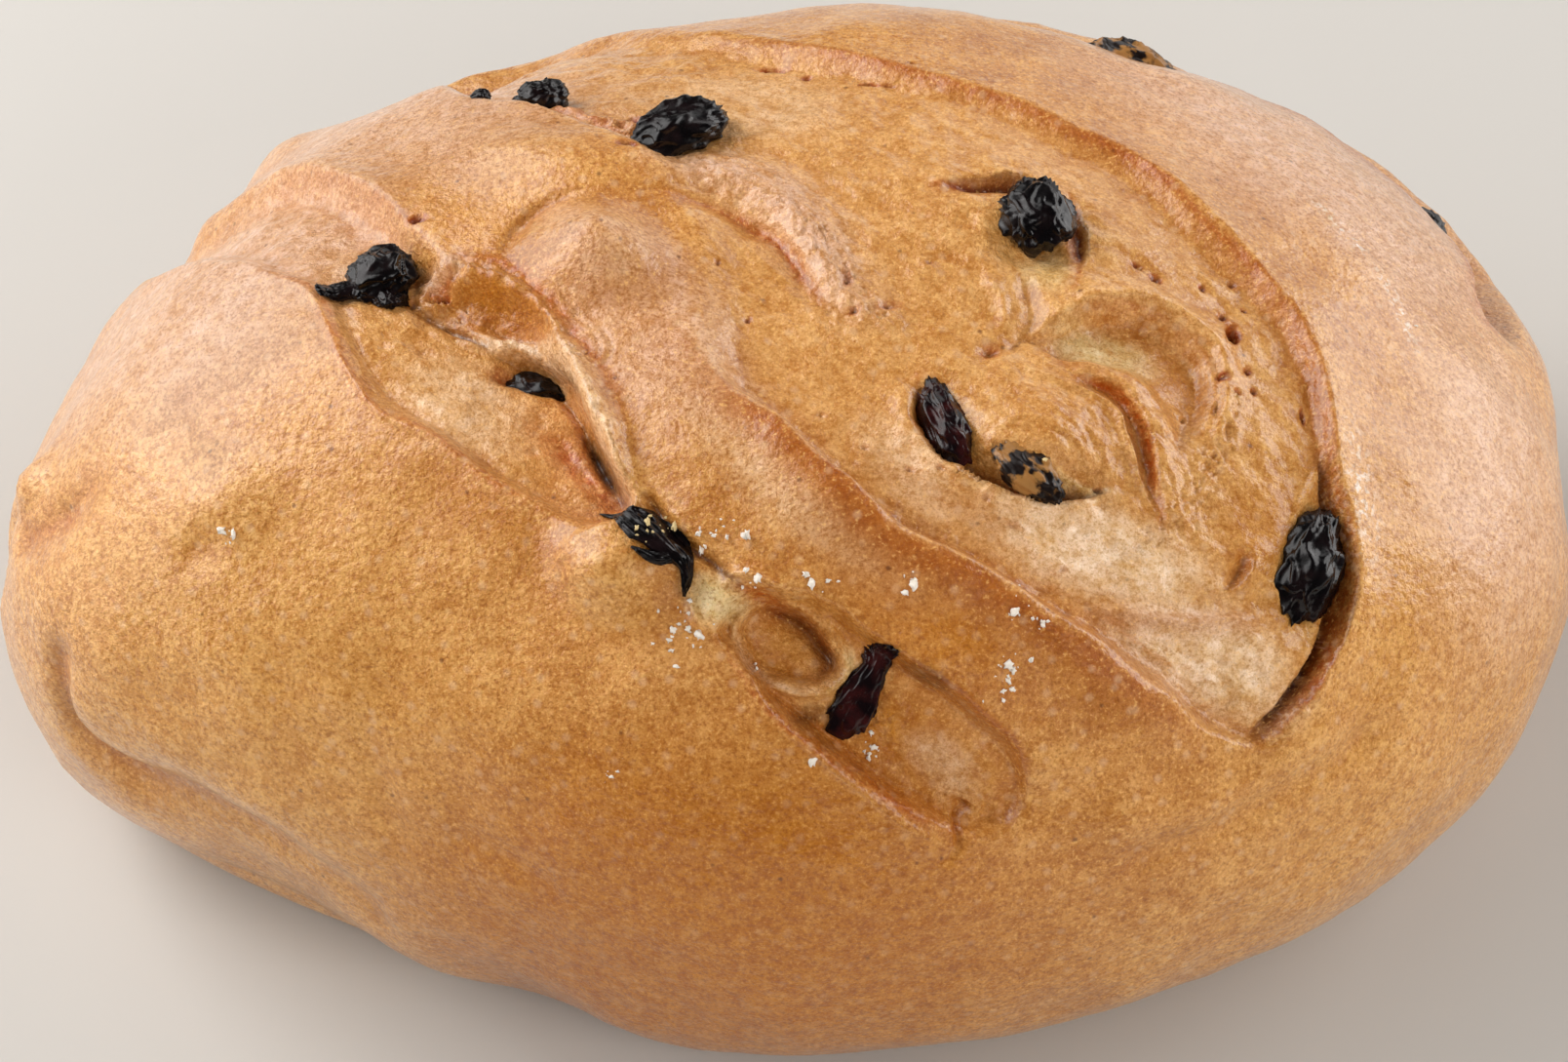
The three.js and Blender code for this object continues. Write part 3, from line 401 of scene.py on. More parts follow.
def smoothCurve(points, closed, steps=8):
    # centripetal curve through the points, with their other values in between
    places = np.array([point[:2] for point in points], float)
    values = np.array([point[2:] for point in points], float)
    count = len(points)
    spans = count if closed else count - 1
    track, along = [], []
    for i in range(spans):
        two, three = places[i], places[(i + 1) % count]
        one = places[i - 1] if closed or i > 0 else 2 * two - three
        four = places[(i + 2) % count] if closed or i + 2 < count else 2 * three - two
        t1 = np.linalg.norm(two - one) ** 0.5
        t2 = t1 + np.linalg.norm(three - two) ** 0.5
        t3 = t2 + np.linalg.norm(four - three) ** 0.5
        for step in range(steps):
            t = t1 + (t2 - t1) * step / steps
            a = ((t1 - t) * one + t * two) / t1
            b = ((t2 - t) * two + (t - t1) * three) / (t2 - t1)
            c = ((t3 - t) * three + (t - t2) * four) / (t3 - t2)
            d = ((t2 - t) * a + t * b) / t2
            e = ((t3 - t) * b + (t - t1) * c) / (t3 - t1)
            track.append(((t2 - t) * d + (t - t1) * e) / (t2 - t1))
            along.append(values[i] + (values[(i + 1) % count] - values[i]) * step / steps)
    last = 0 if closed else -1
    return np.array(track + [places[last]]), np.array(along + [values[last]])


def nearestOn(curve, places):
    # distance to the curve, side of it, and its values at the nearest point
    track, values = curve
    best = np.full(len(places), np.inf)
    side = np.zeros(len(places))
    found = np.zeros((len(places), values.shape[1]))
    for i in range(len(track) - 1):
        step = track[i + 1] - track[i]
        share = np.clip((places - track[i]) @ step / (step @ step), 0, 1)
        offset = places - track[i] - share[:, None] * step
        distance = np.hypot(offset[:, 0], offset[:, 1])
        closer = distance < best
        best[closer] = distance[closer]
        fromStart = places[closer] - track[i]
        side[closer] = np.sign(step[0] * fromStart[:, 1] - step[1] * fromStart[:, 0])
        found[closer] = values[i] + share[closer, None] * (values[i + 1] - values[i])
    return best, side, found


def insideLoop(track, places):
    inside = np.zeros(len(places), bool)
    x, y = places[:, 0], places[:, 1]
    for a, b in zip(track[:-1], track[1:]):
        if a[1] != b[1]:
            crossing = (b[0] - a[0]) * (y - a[1]) / (b[1] - a[1]) + a[0]
            inside ^= ((a[1] > y) != (b[1] > y)) & (x < crossing)
    return inside


def near(track, places, margin):
    low, high = track.min(0) - margin, track.max(0) + margin
    return np.nonzero(((places > low) & (places < high)).all(1))[0]


depthBlend = 4  # how softly a floor's depth passes from one rim point to the next


def floorRelief(curve, places):
    # depth of a sunken floor, and how far inside its rim a place is, from 0 to 1
    depth, inner = np.zeros(len(places)), np.zeros(len(places))
    chosen = near(curve[0], places, 0)
    chosen = chosen[insideLoop(curve[0], places[chosen])]
    if len(chosen):
        spots = places[chosen]
        distance, _, values = nearestOn(curve, spots)
        weights, total = np.zeros(len(spots)), np.zeros(len(spots))
        for point, value in zip(*curve):
            weight = 1 / (((spots - point) ** 2).sum(1) + depthBlend)
            weights += weight
            total += weight * value[1]
        inner[chosen] = smoothStep(distance / values[:, 0])
        depth[chosen] = -total / weights * inner[chosen]
    return depth, inner


def bandRelief(left, right, curve, places):
    # bell-shaped band along a path
    height = np.zeros(len(places))
    chosen = near(curve[0], places, 3 * max(left, right))
    if len(chosen):
        distance, side, values = nearestOn(curve, places[chosen])
        width = np.where(side > 0, left, right)
        height[chosen] = values[:, 0] * np.exp(-((distance / width) ** 2))
    return height


def ellipseReach(places, x, y, halfLength, halfWidth, turn):
    # 0 in the middle of the ellipse and 1 on its edge
    cosine, sine = math.cos(math.radians(turn)), math.sin(math.radians(turn))
    dx, dy = places[:, 0] - x, places[:, 1] - y
    return np.hypot((dx * cosine + dy * sine) / halfLength, (dy * cosine - dx * sine) / halfWidth)


# Wandering of all rims and folds: size of the waves and their reach
wandering = [(9, 0.8), (2.4, 0.16)]

floorCurves = {name: smoothCurve(points, True) for name, points in sunkenFloors.items()}
weltCurves = {name: (left, right, smoothCurve(path, False)) for name, (left, right, path) in welts.items()}


def wobble(places):
    # small wandering, so that no rim or fold is a drawn line
    shift = np.zeros_like(places)
    for size, reach in wandering:
        spots = [Vector((x / size, y / size, size)) for x, y in places]
        shift += reach * np.array([noise.noise_vector(spot)[:2] for spot in spots]).reshape(-1, 2)
    return shift


fibreShape = {"crest": 0.5, "groove": 2, "fineShare": 0.5, "fineness": 2.3}


def fibreRelief(reach, height, across, along, path, places):
    # ragged strands that run along a path
    curve = smoothCurve(path, False)
    lengths = np.linalg.norm(np.diff(curve[0], axis=0), axis=1)
    travelled = np.concatenate([[0], np.cumsum(lengths)])[:, None]
    relief = np.zeros(len(places))
    chosen = near(curve[0], places, 2 * reach)
    if len(chosen):
        distance, side, travel = nearestOn((curve[0], travelled), places[chosen])
        cells = np.stack([travel[:, 0] / along, side * distance / across, np.full(len(chosen), reach)], 1)
        crest, groove = fibreShape["crest"], fibreShape["groove"]
        strands = np.array([crest - groove * abs(noise.noise(Vector(cell))) for cell in cells])
        fine = np.array([noise.noise(Vector(cell) * fibreShape["fineness"]) for cell in cells])
        strands += fibreShape["fineShare"] * fine
        relief[chosen] = height * strands * np.exp(-((distance / reach) ** 4))
    return relief


def reliefAt(places):
    places = places + wobble(places)
    height = np.zeros(len(places))
    for curve in floorCurves.values():
        height += floorRelief(curve, places)[0]
    for left, right, curve in weltCurves.values():
        height += bandRelief(left, right, curve, places)
    for x, y, halfLength, halfWidth, turn, rise in [*swellings.values(), *pores]:
        height += rise * smoothStep(1 - ellipseReach(places, x, y, halfLength, halfWidth, turn))
    for reach, rise, across, along, path in fibres.values():
        height += fibreRelief(reach, rise, across, along, path, places)
    return height


def leanAt(places):
    # how far the leaning edges move the crust sideways
    lean = np.zeros((len(places), 3))
    for outwards, inwards, direction, path in overhangs.values():
        curve = smoothCurve(path, False)
        chosen = near(curve[0], places, 2.5 * outwards)
        if len(chosen):
            distance, side, values = nearestOn(curve, places[chosen])
            inner = (1 - smoothStep(distance / inwards)) * values[:, 0]
            outer = np.exp(-((distance / outwards) ** 2)) * values[:, 0]
            share = np.where(side < 0, inner, outer)
            lean[chosen, 0] += share * direction[0]
            lean[chosen, 1] += share * direction[1]
    return lean


def crustPoint(azimuth, polar):
    points = bodyPoint(azimuth, polar)
    places = crustPlace(points)
    height = reliefAt(places) * smoothStep(points[:, 2] / body["reliefStart"])
    return points + bodyNormal(azimuth, polar) * height[:, None] + leanAt(places)


halvings = 40


def anglesAt(places):
    # azimuth and polar angle of places on the chart, by halving
    azimuth = np.arctan2(places[:, 1], places[:, 0])
    wanted = np.linalg.norm(places, axis=1)
    low = np.zeros(len(places))
    high = np.full(len(places), math.pi / 2 + body["footTurnIn"])
    for _ in range(halvings):
        middle = (low + high) / 2
        reached = np.linalg.norm(crustPlace(bodyPoint(azimuth, middle)), axis=1)
        low = np.where(reached < wanted, middle, low)
        high = np.where(reached < wanted, high, middle)
    return azimuth, (low + high) / 2


def newPiece(bm, name, material, nodes=()):
    mesh = bpy.data.meshes.new(name)
    bm.to_mesh(mesh)
    bm.free()
    return finishPiece(mesh, name, material, nodes)


def finishPiece(mesh, name, material, nodes=()):
    mesh.polygons.foreach_set("use_smooth", [True] * len(mesh.polygons))
    mesh.materials.append(material)
    piece = bpy.data.objects.new(name, mesh)
    bpy.context.collection.objects.link(piece)
    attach(piece, "root")
    if nodes:
        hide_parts(*nodes)
    return piece


# Net of the crust: a ball of directions whose edges are split until each is as short as its place asks
crustNet = {
    "startSubdivisions": 6,
    "fineEdge": 0.6,
    "narrowEdge": 0.45,
    "fibreEdge": 0.5,
    "floorEdge": 1,
    "plainEdge": 1.7,
    "footEdge": 4,
    "poreEdge": 0.6,
    "edgeGrowth": 0.16,
    "slack": 1.25,
    "rounds": 7,
}


def directionAngles(directions):
    return np.arctan2(directions[:, 1], directions[:, 0]), np.arccos(np.clip(directions[:, 2], -1, 1))


def wantedEdges(points):
    fine, plain, growth = crustNet["fineEdge"], crustNet["plainEdge"], crustNet["edgeGrowth"]
    places = crustPlace(points)
    wanted = np.full(len(points), float(plain))
    reach = (plain - fine) / growth
    curves = [(fine, curve) for curve in floorCurves.values()]
    for left, right, curve in weltCurves.values():
        curves.append((crustNet["narrowEdge"] if min(left, right) <= 0.5 else fine, curve))
    for smallest, curve in curves:
        chosen = near(curve[0], places, reach)
        distance = nearestOn(curve, places[chosen])[0]
        wanted[chosen] = np.minimum(wanted[chosen], smallest + growth * distance)
    for curve in floorCurves.values():
        chosen = near(curve[0], places, 0)
        chosen = chosen[insideLoop(curve[0], places[chosen])]
        wanted[chosen] = np.minimum(wanted[chosen], crustNet["floorEdge"])
    for fibreReach, _, across, _, path in fibres.values():
        curve = smoothCurve(path, False)
        chosen = near(curve[0], places, fibreReach + reach)
        distance = np.maximum(nearestOn(curve, places[chosen])[0] - fibreReach, 0)
        wanted[chosen] = np.minimum(wanted[chosen], crustNet["fibreEdge"] + growth * distance)
    for x, y, halfLength, halfWidth, turn, _ in pores:
        size = min(halfLength, halfWidth)
        outside = np.abs(ellipseReach(places, x, y, halfLength, halfWidth, turn) - 1) * size
        smallest = min(fine, crustNet["poreEdge"] * size)
        wanted = np.minimum(wanted, smallest + 2 * growth * outside)
    return np.where(points[:, 2] < body["widestLevel"] / 4, crustNet["footEdge"], wanted)


def markedEdges(faces, lengths, tooLong):
    # the edges that are too long, and the longest edge of every face that has one
    marked = tooLong.copy()
    longest = faces[np.arange(len(faces)), lengths[faces].argmax(1)]
    while True:
        grown = longest[marked[faces].any(1) & ~marked[longest]]
        if not len(grown):
            return marked
        marked[grown] = True


def splitCrustNet(bm):
    for vert in bm.verts:
        vert.co.normalize()
    bm.verts.index_update()
    bm.edges.index_update()
    directions = np.array([vert.co for vert in bm.verts])
    ends = np.array([[vert.index for vert in edge.verts] for edge in bm.edges])
    faces = np.array([[edge.index for edge in face.edges] for face in bm.faces])
    points = bodyPoint(*directionAngles(directions))
    wanted = wantedEdges(points)
    lengths = np.linalg.norm(points[ends[:, 0]] - points[ends[:, 1]], axis=1)
    tooLong = lengths > crustNet["slack"] * wanted[ends].min(1)
    if not tooLong.any():
        return False
    marked = markedEdges(faces, lengths, tooLong)
    bm.edges.ensure_lookup_table()
    bmesh.ops.subdivide_edges(bm, edges=[bm.edges[i] for i in np.nonzero(marked)[0]], cuts=1)
    larger = [face for face in bm.faces if len(face.verts) > 3]
    bmesh.ops.triangulate(bm, faces=larger, quad_method="SHORT_EDGE", ngon_method="BEAUTY")
    return True


def crustDirections():
    bm = bmesh.new()
    bmesh.ops.create_icosphere(bm, subdivisions=crustNet["startSubdivisions"], radius=1)
    for _ in range(crustNet["rounds"]):
        if not splitCrustNet(bm):
            break
    for vert in bm.verts:
        vert.co.normalize()
    print("crust net:", len(bm.verts), "points,", len(bm.faces), "faces")
    return bm


# Unevenness on top of the modelled relief: size, height and seed of each pattern
unevenness = {
    "wholeCrust": [(17, 0.6, 1.3), (6, 0.16, 4.2), (2.6, 0.06, 7.1)],  # lumps, ripples and blisters
    "floors": (3.2, 0.26, 7.7),
    "stretchMarks": (1.7, 5, 0.22, 5.1),  # size across and along
    "stretchTurn": -38,
}


def noiseAt(points, size, seed):
    shift = Vector((seed, 2 * seed, -seed))
    return np.array([noise.fractal(Vector(point) / size + shift, 0.8, 2.1, 2) for point in points])


# Colours laid on the crust along paths, its own browning and painted light and shade alike: strength, width
# to the left and right, and the path
colourBands = {
    "brown": [
        (1, 0.7, 5, [
            (-4, -14, 0.2), (3, -24, 0.6), (10, -31, 1), (18, -39, 1), (24, -44.6, 1), (35, -50, 1),
            (45, -55, 1), (56, -60.3, 0.9), (68, -65.4, 0.7), (78, -69, 0.2),
        ]),
        (0.45, 1.1, 0.5, [
            (-36, 3, 0.4), (-41, 9.8, 1), (-45.2, 14.2, 1), (-49.8, 19.3, 1), (-56, 24.6, 0.9),
            (-65, 31, 0.5),
        ]),
        (0.7, 0.6, 2.2, [
            (-3, 51, 0.3), (8, 49, 0.7), (22, 40, 1), (37, 32, 1), (51, 25, 1), (61, 19.4, 1), (68, 11, 1),
            (76, 2.8, 1), (82, -5, 0.9), (86, -14, 0.7), (87.8, -22, 0.4),
        ]),
        # painted shade along the coil's edge and on the dent's upper wall
        (0.5, 2, 1.5, [(45, -14, 0.3), (48.4, -15.4, 1), (53, -16.8, 0.8), (56, -18, 0.3)]),
        (1, 0.6, 1.5, [
            (8.8, -57.4, 0.4), (12, -57, 1), (15.6, -58.7, 1), (18.9, -62.2, 1), (20.4, -65.4, 0.4),
        ]),
        (0.4, 0.8, 0.8, [(-24, 0, 0.3), (-22.6, 3.4, 1), (-20, 6.1, 1), (-16, 7.2, 0.6)]),
        # painted shade on the dome's lower flank
        (0.3, 2.4, 2.4, [
            (-17, -11, 0.3), (-11.4, -10, 0.9), (-6, -8.4, 1), (-3.8, -5, 0.9), (-4.4, -1.3, 0.3),
        ]),
        (0.6, 1.4, 0.6, [(4, -61.5, 0.3), (11, -69.9, 1), (20, -77, 1), (30, -82.8, 0.9), (38, -86, 0.4)]),
        # painted shade along the lobe's upper rim
        (1, 0.6, 1.5, [(26, -62, 0.4), (34, -66, 1), (42, -70, 1), (50, -77, 0.8), (50, -84, 0.3)]),
        (0.7, 4, 4, [(54, 70, 0.6), (69, 64, 1), (86, 58, 1), (101, 49, 1), (112, 40, 1)]),
        (0.6, 1.6, 1.6, [
            (-109, -44, 0.6), (-115, -50, 1), (-113, -59, 1), (-95, -72, 0.8), (-81, -82, 0.4),
        ]),
        (0.5, 2.2, 2.2, [
            (51, -55, 0.6), (59, -54.8, 1), (66, -54.2, 1), (73, -53.2, 1), (79, -51.6, 0.9),
            (84, -49.6, 0.4),
        ]),
        (0.5, 2.6, 0.6, [
            (10, -29.6, 0.3), (18, -38, 1), (24, -43.2, 1), (35, -48.6, 1), (45, -53.3, 1), (56, -58.8, 1),
            (68, -64, 0.8), (78, -67.4, 0.3),
        ]),
        (0.5, 0.7, 0.7, [(40.5, -84.5, 0.5), (43, -84.6, 1), (41.4, -86.4, 1), (42, -89, 0.8)]),
    ],
    # red-brown painted shade in furrows, pleats, cracks, pockets and under the rims, partly the browning of
    # rim edges
    "redBrownAndShade": [
        (0.5, 0.5, 0.9, [
            (-61, 3, 0.3), (-50.5, -5, 1), (-47.6, -13, 1), (-43.4, -23, 1), (-35, -30.4, 1),
            (-26, -38.4, 1), (-16, -46, 0.3),
        ]),
        (0.6, 0.8, 0.8, [
            (-31, -1, 0.4), (-25, -3, 1), (-19, -9, 1), (-15, -15, 1), (-11.5, -22, 0.7), (-9, -30, 0.4),
        ]),
        (0.75, 1.6, 2.8, [(-21, -26.5, 0.2), (-17.8, -30.5, 0.9), (-15, -35, 1), (-11.4, -40.6, 0.8)]),
        (0.6, 0.7, 0.7, [(-38, -4.5, 0.5), (-35, -4.5, 1), (-32, -3.5, 0.8)]),
        (0.45, 0.6, 0.6, [
            (8, 48.4, 0.2), (22, 39.6, 0.6), (37, 31.7, 0.7), (51, 24.6, 0.8), (61.4, 18.6, 1),
            (68, 10.6, 1), (76, 2.4, 0.8),
        ]),
        (1, 0.4, 1.5, [
            (76, 3, 0.1), (85.8, -13, 0.2), (87.6, -24, 0.5), (93.3, -36, 0.7), (95.4, -45, 0.8),
            (94, -56, 0.9), (91.2, -61.5, 0.6), (88.4, -65.5, 0.5), (86.4, -68, 0.3),
        ]),
        (0.4, 0.4, 0.7, [
            (50, -7.8, 0.2), (54, -6.6, 0.8), (57.5, -6.6, 1), (62, -7.6, 1), (66.7, -10, 1),
            (69.8, -14.4, 0.8), (70.3, -21, 0.4),
        ]),
        (1, 0.3, 0.6, [
            (49.5, -18.3, 0.4), (53, -18.8, 1), (55.5, -20, 1), (58, -22.6, 1), (60, -26.2, 1),
            (61.3, -30.6, 1), (62.2, -35, 0.7), (64, -40, 0.3),
        ]),
        (0.75, 1.6, 0.5, [
            (28, -20, 0.4), (28.6, -27, 0.9), (31.5, -31.4, 1), (35.5, -35.2, 1), (40, -37.4, 1),
            (45, -38.6, 1), (51, -37.8, 0.7), (56, -36, 0.3),
        ]),
        (0.45, 0.3, 0.8, [(76, -41.6, 0.3), (77.8, -42.4, 0.9), (78.3, -44.6, 1), (77.2, -47, 0.6)]),
        (0.7, 0.6, 1, [
            (-4, 8.8, 0.3), (1.7, 7.4, 0.8), (5.4, 5.6, 1), (9, 3.2, 1), (11.4, 0.2, 1), (13, -3.4, 0.9),
            (16, -7.6, 0.4),
        ]),
        (1, 0.6, 1, [(30.2, 11.3, 0.7), (33, 11.5, 1), (37, 12.2, 1), (41.5, 13.2, 1)]),
        (1, 0.9, 2.2, [(35, 11.8, 0.4), (37, 12, 1), (41.5, 12.8, 1)]),
        (1, 0.4, 1.5, [(49, 11.5, 0.3), (49.8, 6, 1), (49.8, 1, 1), (49.5, -1.6, 0.9), (49.2, -3.6, 0.4)]),
        (0.6, 1.6, 1.2, [(-21, 32, 0.7), (-14, 27, 1), (-8, 23, 0.8)]),
        (0.6, 0.9, 0.5, [(3, -62, 0.4), (10, -71, 1), (23, -80, 1), (36, -86, 0.8), (44, -88, 0.3)]),
        (0.8, 1, 1, [(5, -54, 0.4), (9, -55, 1), (12, -57, 0.8)]),
        (0.9, 3, 3, [(106, 56, 0.6), (116, 44, 1), (121, 34, 1), (123, 16, 0.8)]),
        (0.3, 1.5, 1.5, [(-109, -24, 0.6), (-100, -26, 1), (-92, -25, 0.3)]),
    ],
    "deep": [
        (0.8, 0.6, 5, [(-38, -32, 0.2), (-30, -38, 0.8), (-23, -44, 0.8), (-15, -49, 0.2)]),
        (1, 4.5, 4.5, [(-34, -4, 0.3), (-27, -7, 1), (-21, -10.5, 1), (-17, -15, 0.6)]),
    ],
    "cream": [
        (0.75, 1, 1.1, [
            (-29, -12, 0.7), (-26, -12.6, 1), (-22, -13.8, 1), (-18, -16.6, 1), (-15.2, -20.7, 1),
            (-13.5, -25, 1), (-11.9, -29.5, 1), (-10.3, -35, 1), (-9.3, -42, 0.8),
        ]),
        # painted highlight along the dent's lower rim
        (0.7, 0.4, 0.4, [
            (5.9, -60, 0.3), (6.2, -63, 1), (8.6, -66.6, 1), (13.4, -69, 0.7), (18, -69, 0.5),
        ]),
        # painted highlight along the top of the strip
        (0.5, 3.5, 3.5, [
            (-4, -16, 0.2), (0, -24, 0.8), (5.5, -33.6, 1), (12.5, -42.2, 0.9), (20.5, -49.5, 0.5),
            (29, -55, 0.2),
        ]),
    ],
    # painted shade: the tear hole, under the twist, the gap under the wide rim, the dent's wall, the crack,
    # beside raisin_08 and the crack by the strip
    "dark": [
        (0.85, 0.7, 0.7, [
            (-15.4, -27.5, 0.4), (-14.1, -31, 1), (-12.9, -34, 1), (-11.5, -37.5, 0.8), (-10.5, -41, 0.6),
        ]),
        (0.6, 0.6, 0.8, [(-38, -5.8, 0.4), (-34.5, -8, 0.9), (-31, -10.6, 1), (-28, -13, 0.6)]),
        (1, 0.5, 0.8, [
            (87, -25, 0.3), (89, -29.8, 0.9), (92.3, -36, 1), (94.3, -43, 1), (94.4, -50, 1),
            (93.1, -55.5, 1), (90.6, -60.5, 0.9), (88.2, -64.4, 0.8), (86.4, -67, 0.3),
        ]),
        (0.5, 0.5, 1, [
            (9.4, -57.2, 0.3), (12.1, -57.6, 1), (15, -59, 1), (18, -61.9, 1), (19.8, -64.2, 1),
            (20.4, -65.8, 0.4),
        ]),
        (0.5, 0.7, 1.6, [(32, 11.5, 0.5), (36, 12, 0.9), (41.5, 13, 1)]),
        (0.55, 0.3, 0.8, [(49.4, 9, 0.2), (49.8, 5.5, 1), (49.8, 1, 1)]),
        (0.9, 0.5, 0.6, [(-7, -41, 0.4), (-1, -48, 1), (4, -52, 0.8), (7, -54, 0.2)]),
    ],
    # pinkish-white painted sheen on the twist, the rough bridge and the strip's ridge
    "paintedSheen": [
        (0.9, 1.6, 1.6, [(-38, -2, 0.3), (-35, -2.5, 1), (-31, -1.5, 0.8)]),
        (0.9, 4, 3, [
            (-5, 15, 0.5), (1, 13.5, 1), (6, 11.5, 1), (11, 7.5, 1), (14.5, 2, 1), (17, -3, 0.9),
            (20.5, -8.5, 0.4),
        ]),
        (0.8, 1.8, 1.8, [(-4, 0, 0.2), (-3, -5, 1), (-2, -11, 1), (0.5, -17, 0.9), (1, -25.6, 0.3)]),
    ],
    "pale": [
        (0.7, 0.7, 1.5, [(46, -33, 0.5), (50, -35.2, 1), (54, -36.2, 1), (56.5, -35.6, 0.3)]),
        (0.7, 0.7, 0.9, [(21.4, -61.8, 0.2), (22.4, -64.2, 1), (21.8, -66.6, 0.9), (19, -69.2, 0.3)]),
    ],
    "flour": [
        (1, 1, 1, [(88, 20, 0.5), (91, 17, 1), (95, 13, 0.6)]),
        (1, 0.9, 0.9, [(97, 10, 0.6), (101, 3, 1), (103, -2, 0.8)]),
        (0.7, 2.4, 2.4, [(90, -20, 0.3), (93, -28, 1), (97, -38, 0.6)]),
    ],
}

# Patches of the same colours: strength, x, y, half length, half width, turn
colourPatches = {
    "pale": [
        (0.9, 3, -56, 6, 4.5, -30), (0.75, 53.5, -12.8, 11, 5, -14), (0.55, 45, -2, 5, 5, 0),
    ],
    "deep": [
        (0.5, 65, -17, 5, 8, 40), (0.2, 50, -27, 13, 11, 0), (0.5, 12.8, -63.4, 7, 5, -33),
        (0.95, 0, -104, 90, 42, 0), (0.85, 32, -60, 32, 10, -28), (0.85, 32, -76, 20, 8, -30),
        # the patch at -16, -5 is painted shade on the dome's lower flank
        (0.45, -16, -5, 9, 6, -20), (0.5, 80, -38, 9, 12, 0), (0.4, 60, -18, 12, 9, -40),
        (0.35, -45, 10, 16, 7, -20),
    ],
    "cream": [
        (1, 74, -57, 23, 10, -14), (1, 56, -45, 25, 9, -14), (0.45, 28, -34, 14, 6, -50),
        (0.4, 6, 32, 20, 12, -20), (0.6, -31, -24, 13, 10, -50), (0.4, 38, -79, 9, 5, -35),
    ],
    "golden": [
        (0.7, -72, -62, 62, 52, 10), (0.6, 112, -55, 60, 55, 0), (0.6, -12, -55, 9, 7, 0),
        (0.8, 12, -64, 7, 5, -33),
    ],
    # pinkish-white painted sheen on the shoulders, the far side, the right side and the strip
    "paintedSheen": [
        (0.5, -15, 1, 8, 5, -30), (0.85, -76, 8, 46, 36, 10), (0.8, -45, 40, 48, 30, -20),
        (0.9, 92, 34, 52, 32, -30), (0.7, 122, -18, 26, 36, 0), (0.5, -6, -14, 13, 26, 25),
    ],
    "dark": [
        (0.55, 24, -69, 6, 3.6, 65), (0.6, 33, -66, 5, 1.8, -30), (0.5, 17, -73, 4, 2.5, 10),
    ],
    # red-brown painted shade in the strand's pocket and in the bubble hole
    "redBrownAndShade": [
        (0.6, -26.6, -17.4, 2.2, 2, 20), (0.6, 38, -15, 2.6, 2, 0),
    ],
}


# The colours in the order in which they lie over each other
crustKinds = (
    "floor", "golden", "hollowShade", "crest", "deep", "cream", "paintedSheen", "brown", "redBrownAndShade", "pale", "dark", "flour",
)
poreColours = [("redBrownAndShade", 1, 1.6, 1.2), ("dark", 0.6, 1.5, 0.9)]  # strength, steepness and edge of the painted shade in the pore
patchEdge = 1.4


def crustColours(places):
    # how strongly each colour lies on the crust at these places, its own browning and painted light and shade
    # alike
    places = places + wobble(places)
    kinds = {kind: np.zeros(len(places)) for kind in crustKinds}
    for curve in floorCurves.values():
        kinds["floor"] = np.maximum(kinds["floor"], floorRelief(curve, places)[1])
    for kind, bands in colourBands.items():
        for strength, left, right, path in bands:
            band = strength * bandRelief(left, right, smoothCurve(path, False), places)
            kinds[kind] = np.maximum(kinds[kind], band)
    for kind, patches in colourPatches.items():
        for strength, *ellipse in patches:
            patch = strength * smoothStep(patchEdge * (1 - ellipseReach(places, *ellipse)))
            kinds[kind] = np.maximum(kinds[kind], patch)
    # painted shade inside the pores
    for *ellipse, height in pores:
        reach = ellipseReach(places, *ellipse)
        for kind, strength, steepness, edge in poreColours:
            poreShade = strength * min(1, height * height) * smoothStep(steepness * (edge - reach))
            kinds[kind] = np.maximum(kinds[kind], poreShade)
    return kinds


def skinUnevenness(points, places, floor):
    rise = np.zeros(len(points))
    for size, height, seed in unevenness["wholeCrust"]:
        rise += height * noiseAt(points, size, seed)
    size, height, seed = unevenness["floors"]
    rise += floor * height * noiseAt(points, size, seed)
    across, along, height, seed = unevenness["stretchMarks"]
    turn = math.radians(unevenness["stretchTurn"])
    ahead = places @ np.array([math.cos(turn), math.sin(turn)]) / along
    aside = places @ np.array([-math.sin(turn), math.cos(turn)]) / across
    marks = noiseAt(np.stack([ahead, aside, np.zeros(len(places))], 1), 1, seed)
    return rise + floor * height * marks


# painted shade in hollows and painted highlight on crests: rounds of smoothing, and the depth and height at
# which each is full
hollowShadeReach = {"rounds": 40, "deep": 0.9, "high": 0.7}


def hollowShadeAndCrestLight(mesh, points, normals):
    # painted shade in hollows and painted highlight on crests: how far each point lies below or above its
    # surroundings, both from 0 to 1
    ends = np.empty(2 * len(mesh.edges), int)
    mesh.edges.foreach_get("vertices", ends)
    ends = ends.reshape(-1, 2)
    count = np.bincount(ends.ravel(), minlength=len(points))[:, None]
    smooth = points.copy()
    for _ in range(hollowShadeReach["rounds"]):
        total = np.zeros_like(smooth)
        for axis in range(3):
            total[:, axis] += np.bincount(ends[:, 0], smooth[ends[:, 1], axis], len(points))
            total[:, axis] += np.bincount(ends[:, 1], smooth[ends[:, 0], axis], len(points))
        smooth = 0.5 * smooth + 0.5 * total / count
    depth = ((smooth - points) * normals).sum(1)
    return smoothStep(depth / hollowShadeReach["deep"]), smoothStep(-depth / hollowShadeReach["high"])


footCalm = 0.2  # keeps the unevenness off the flat foot


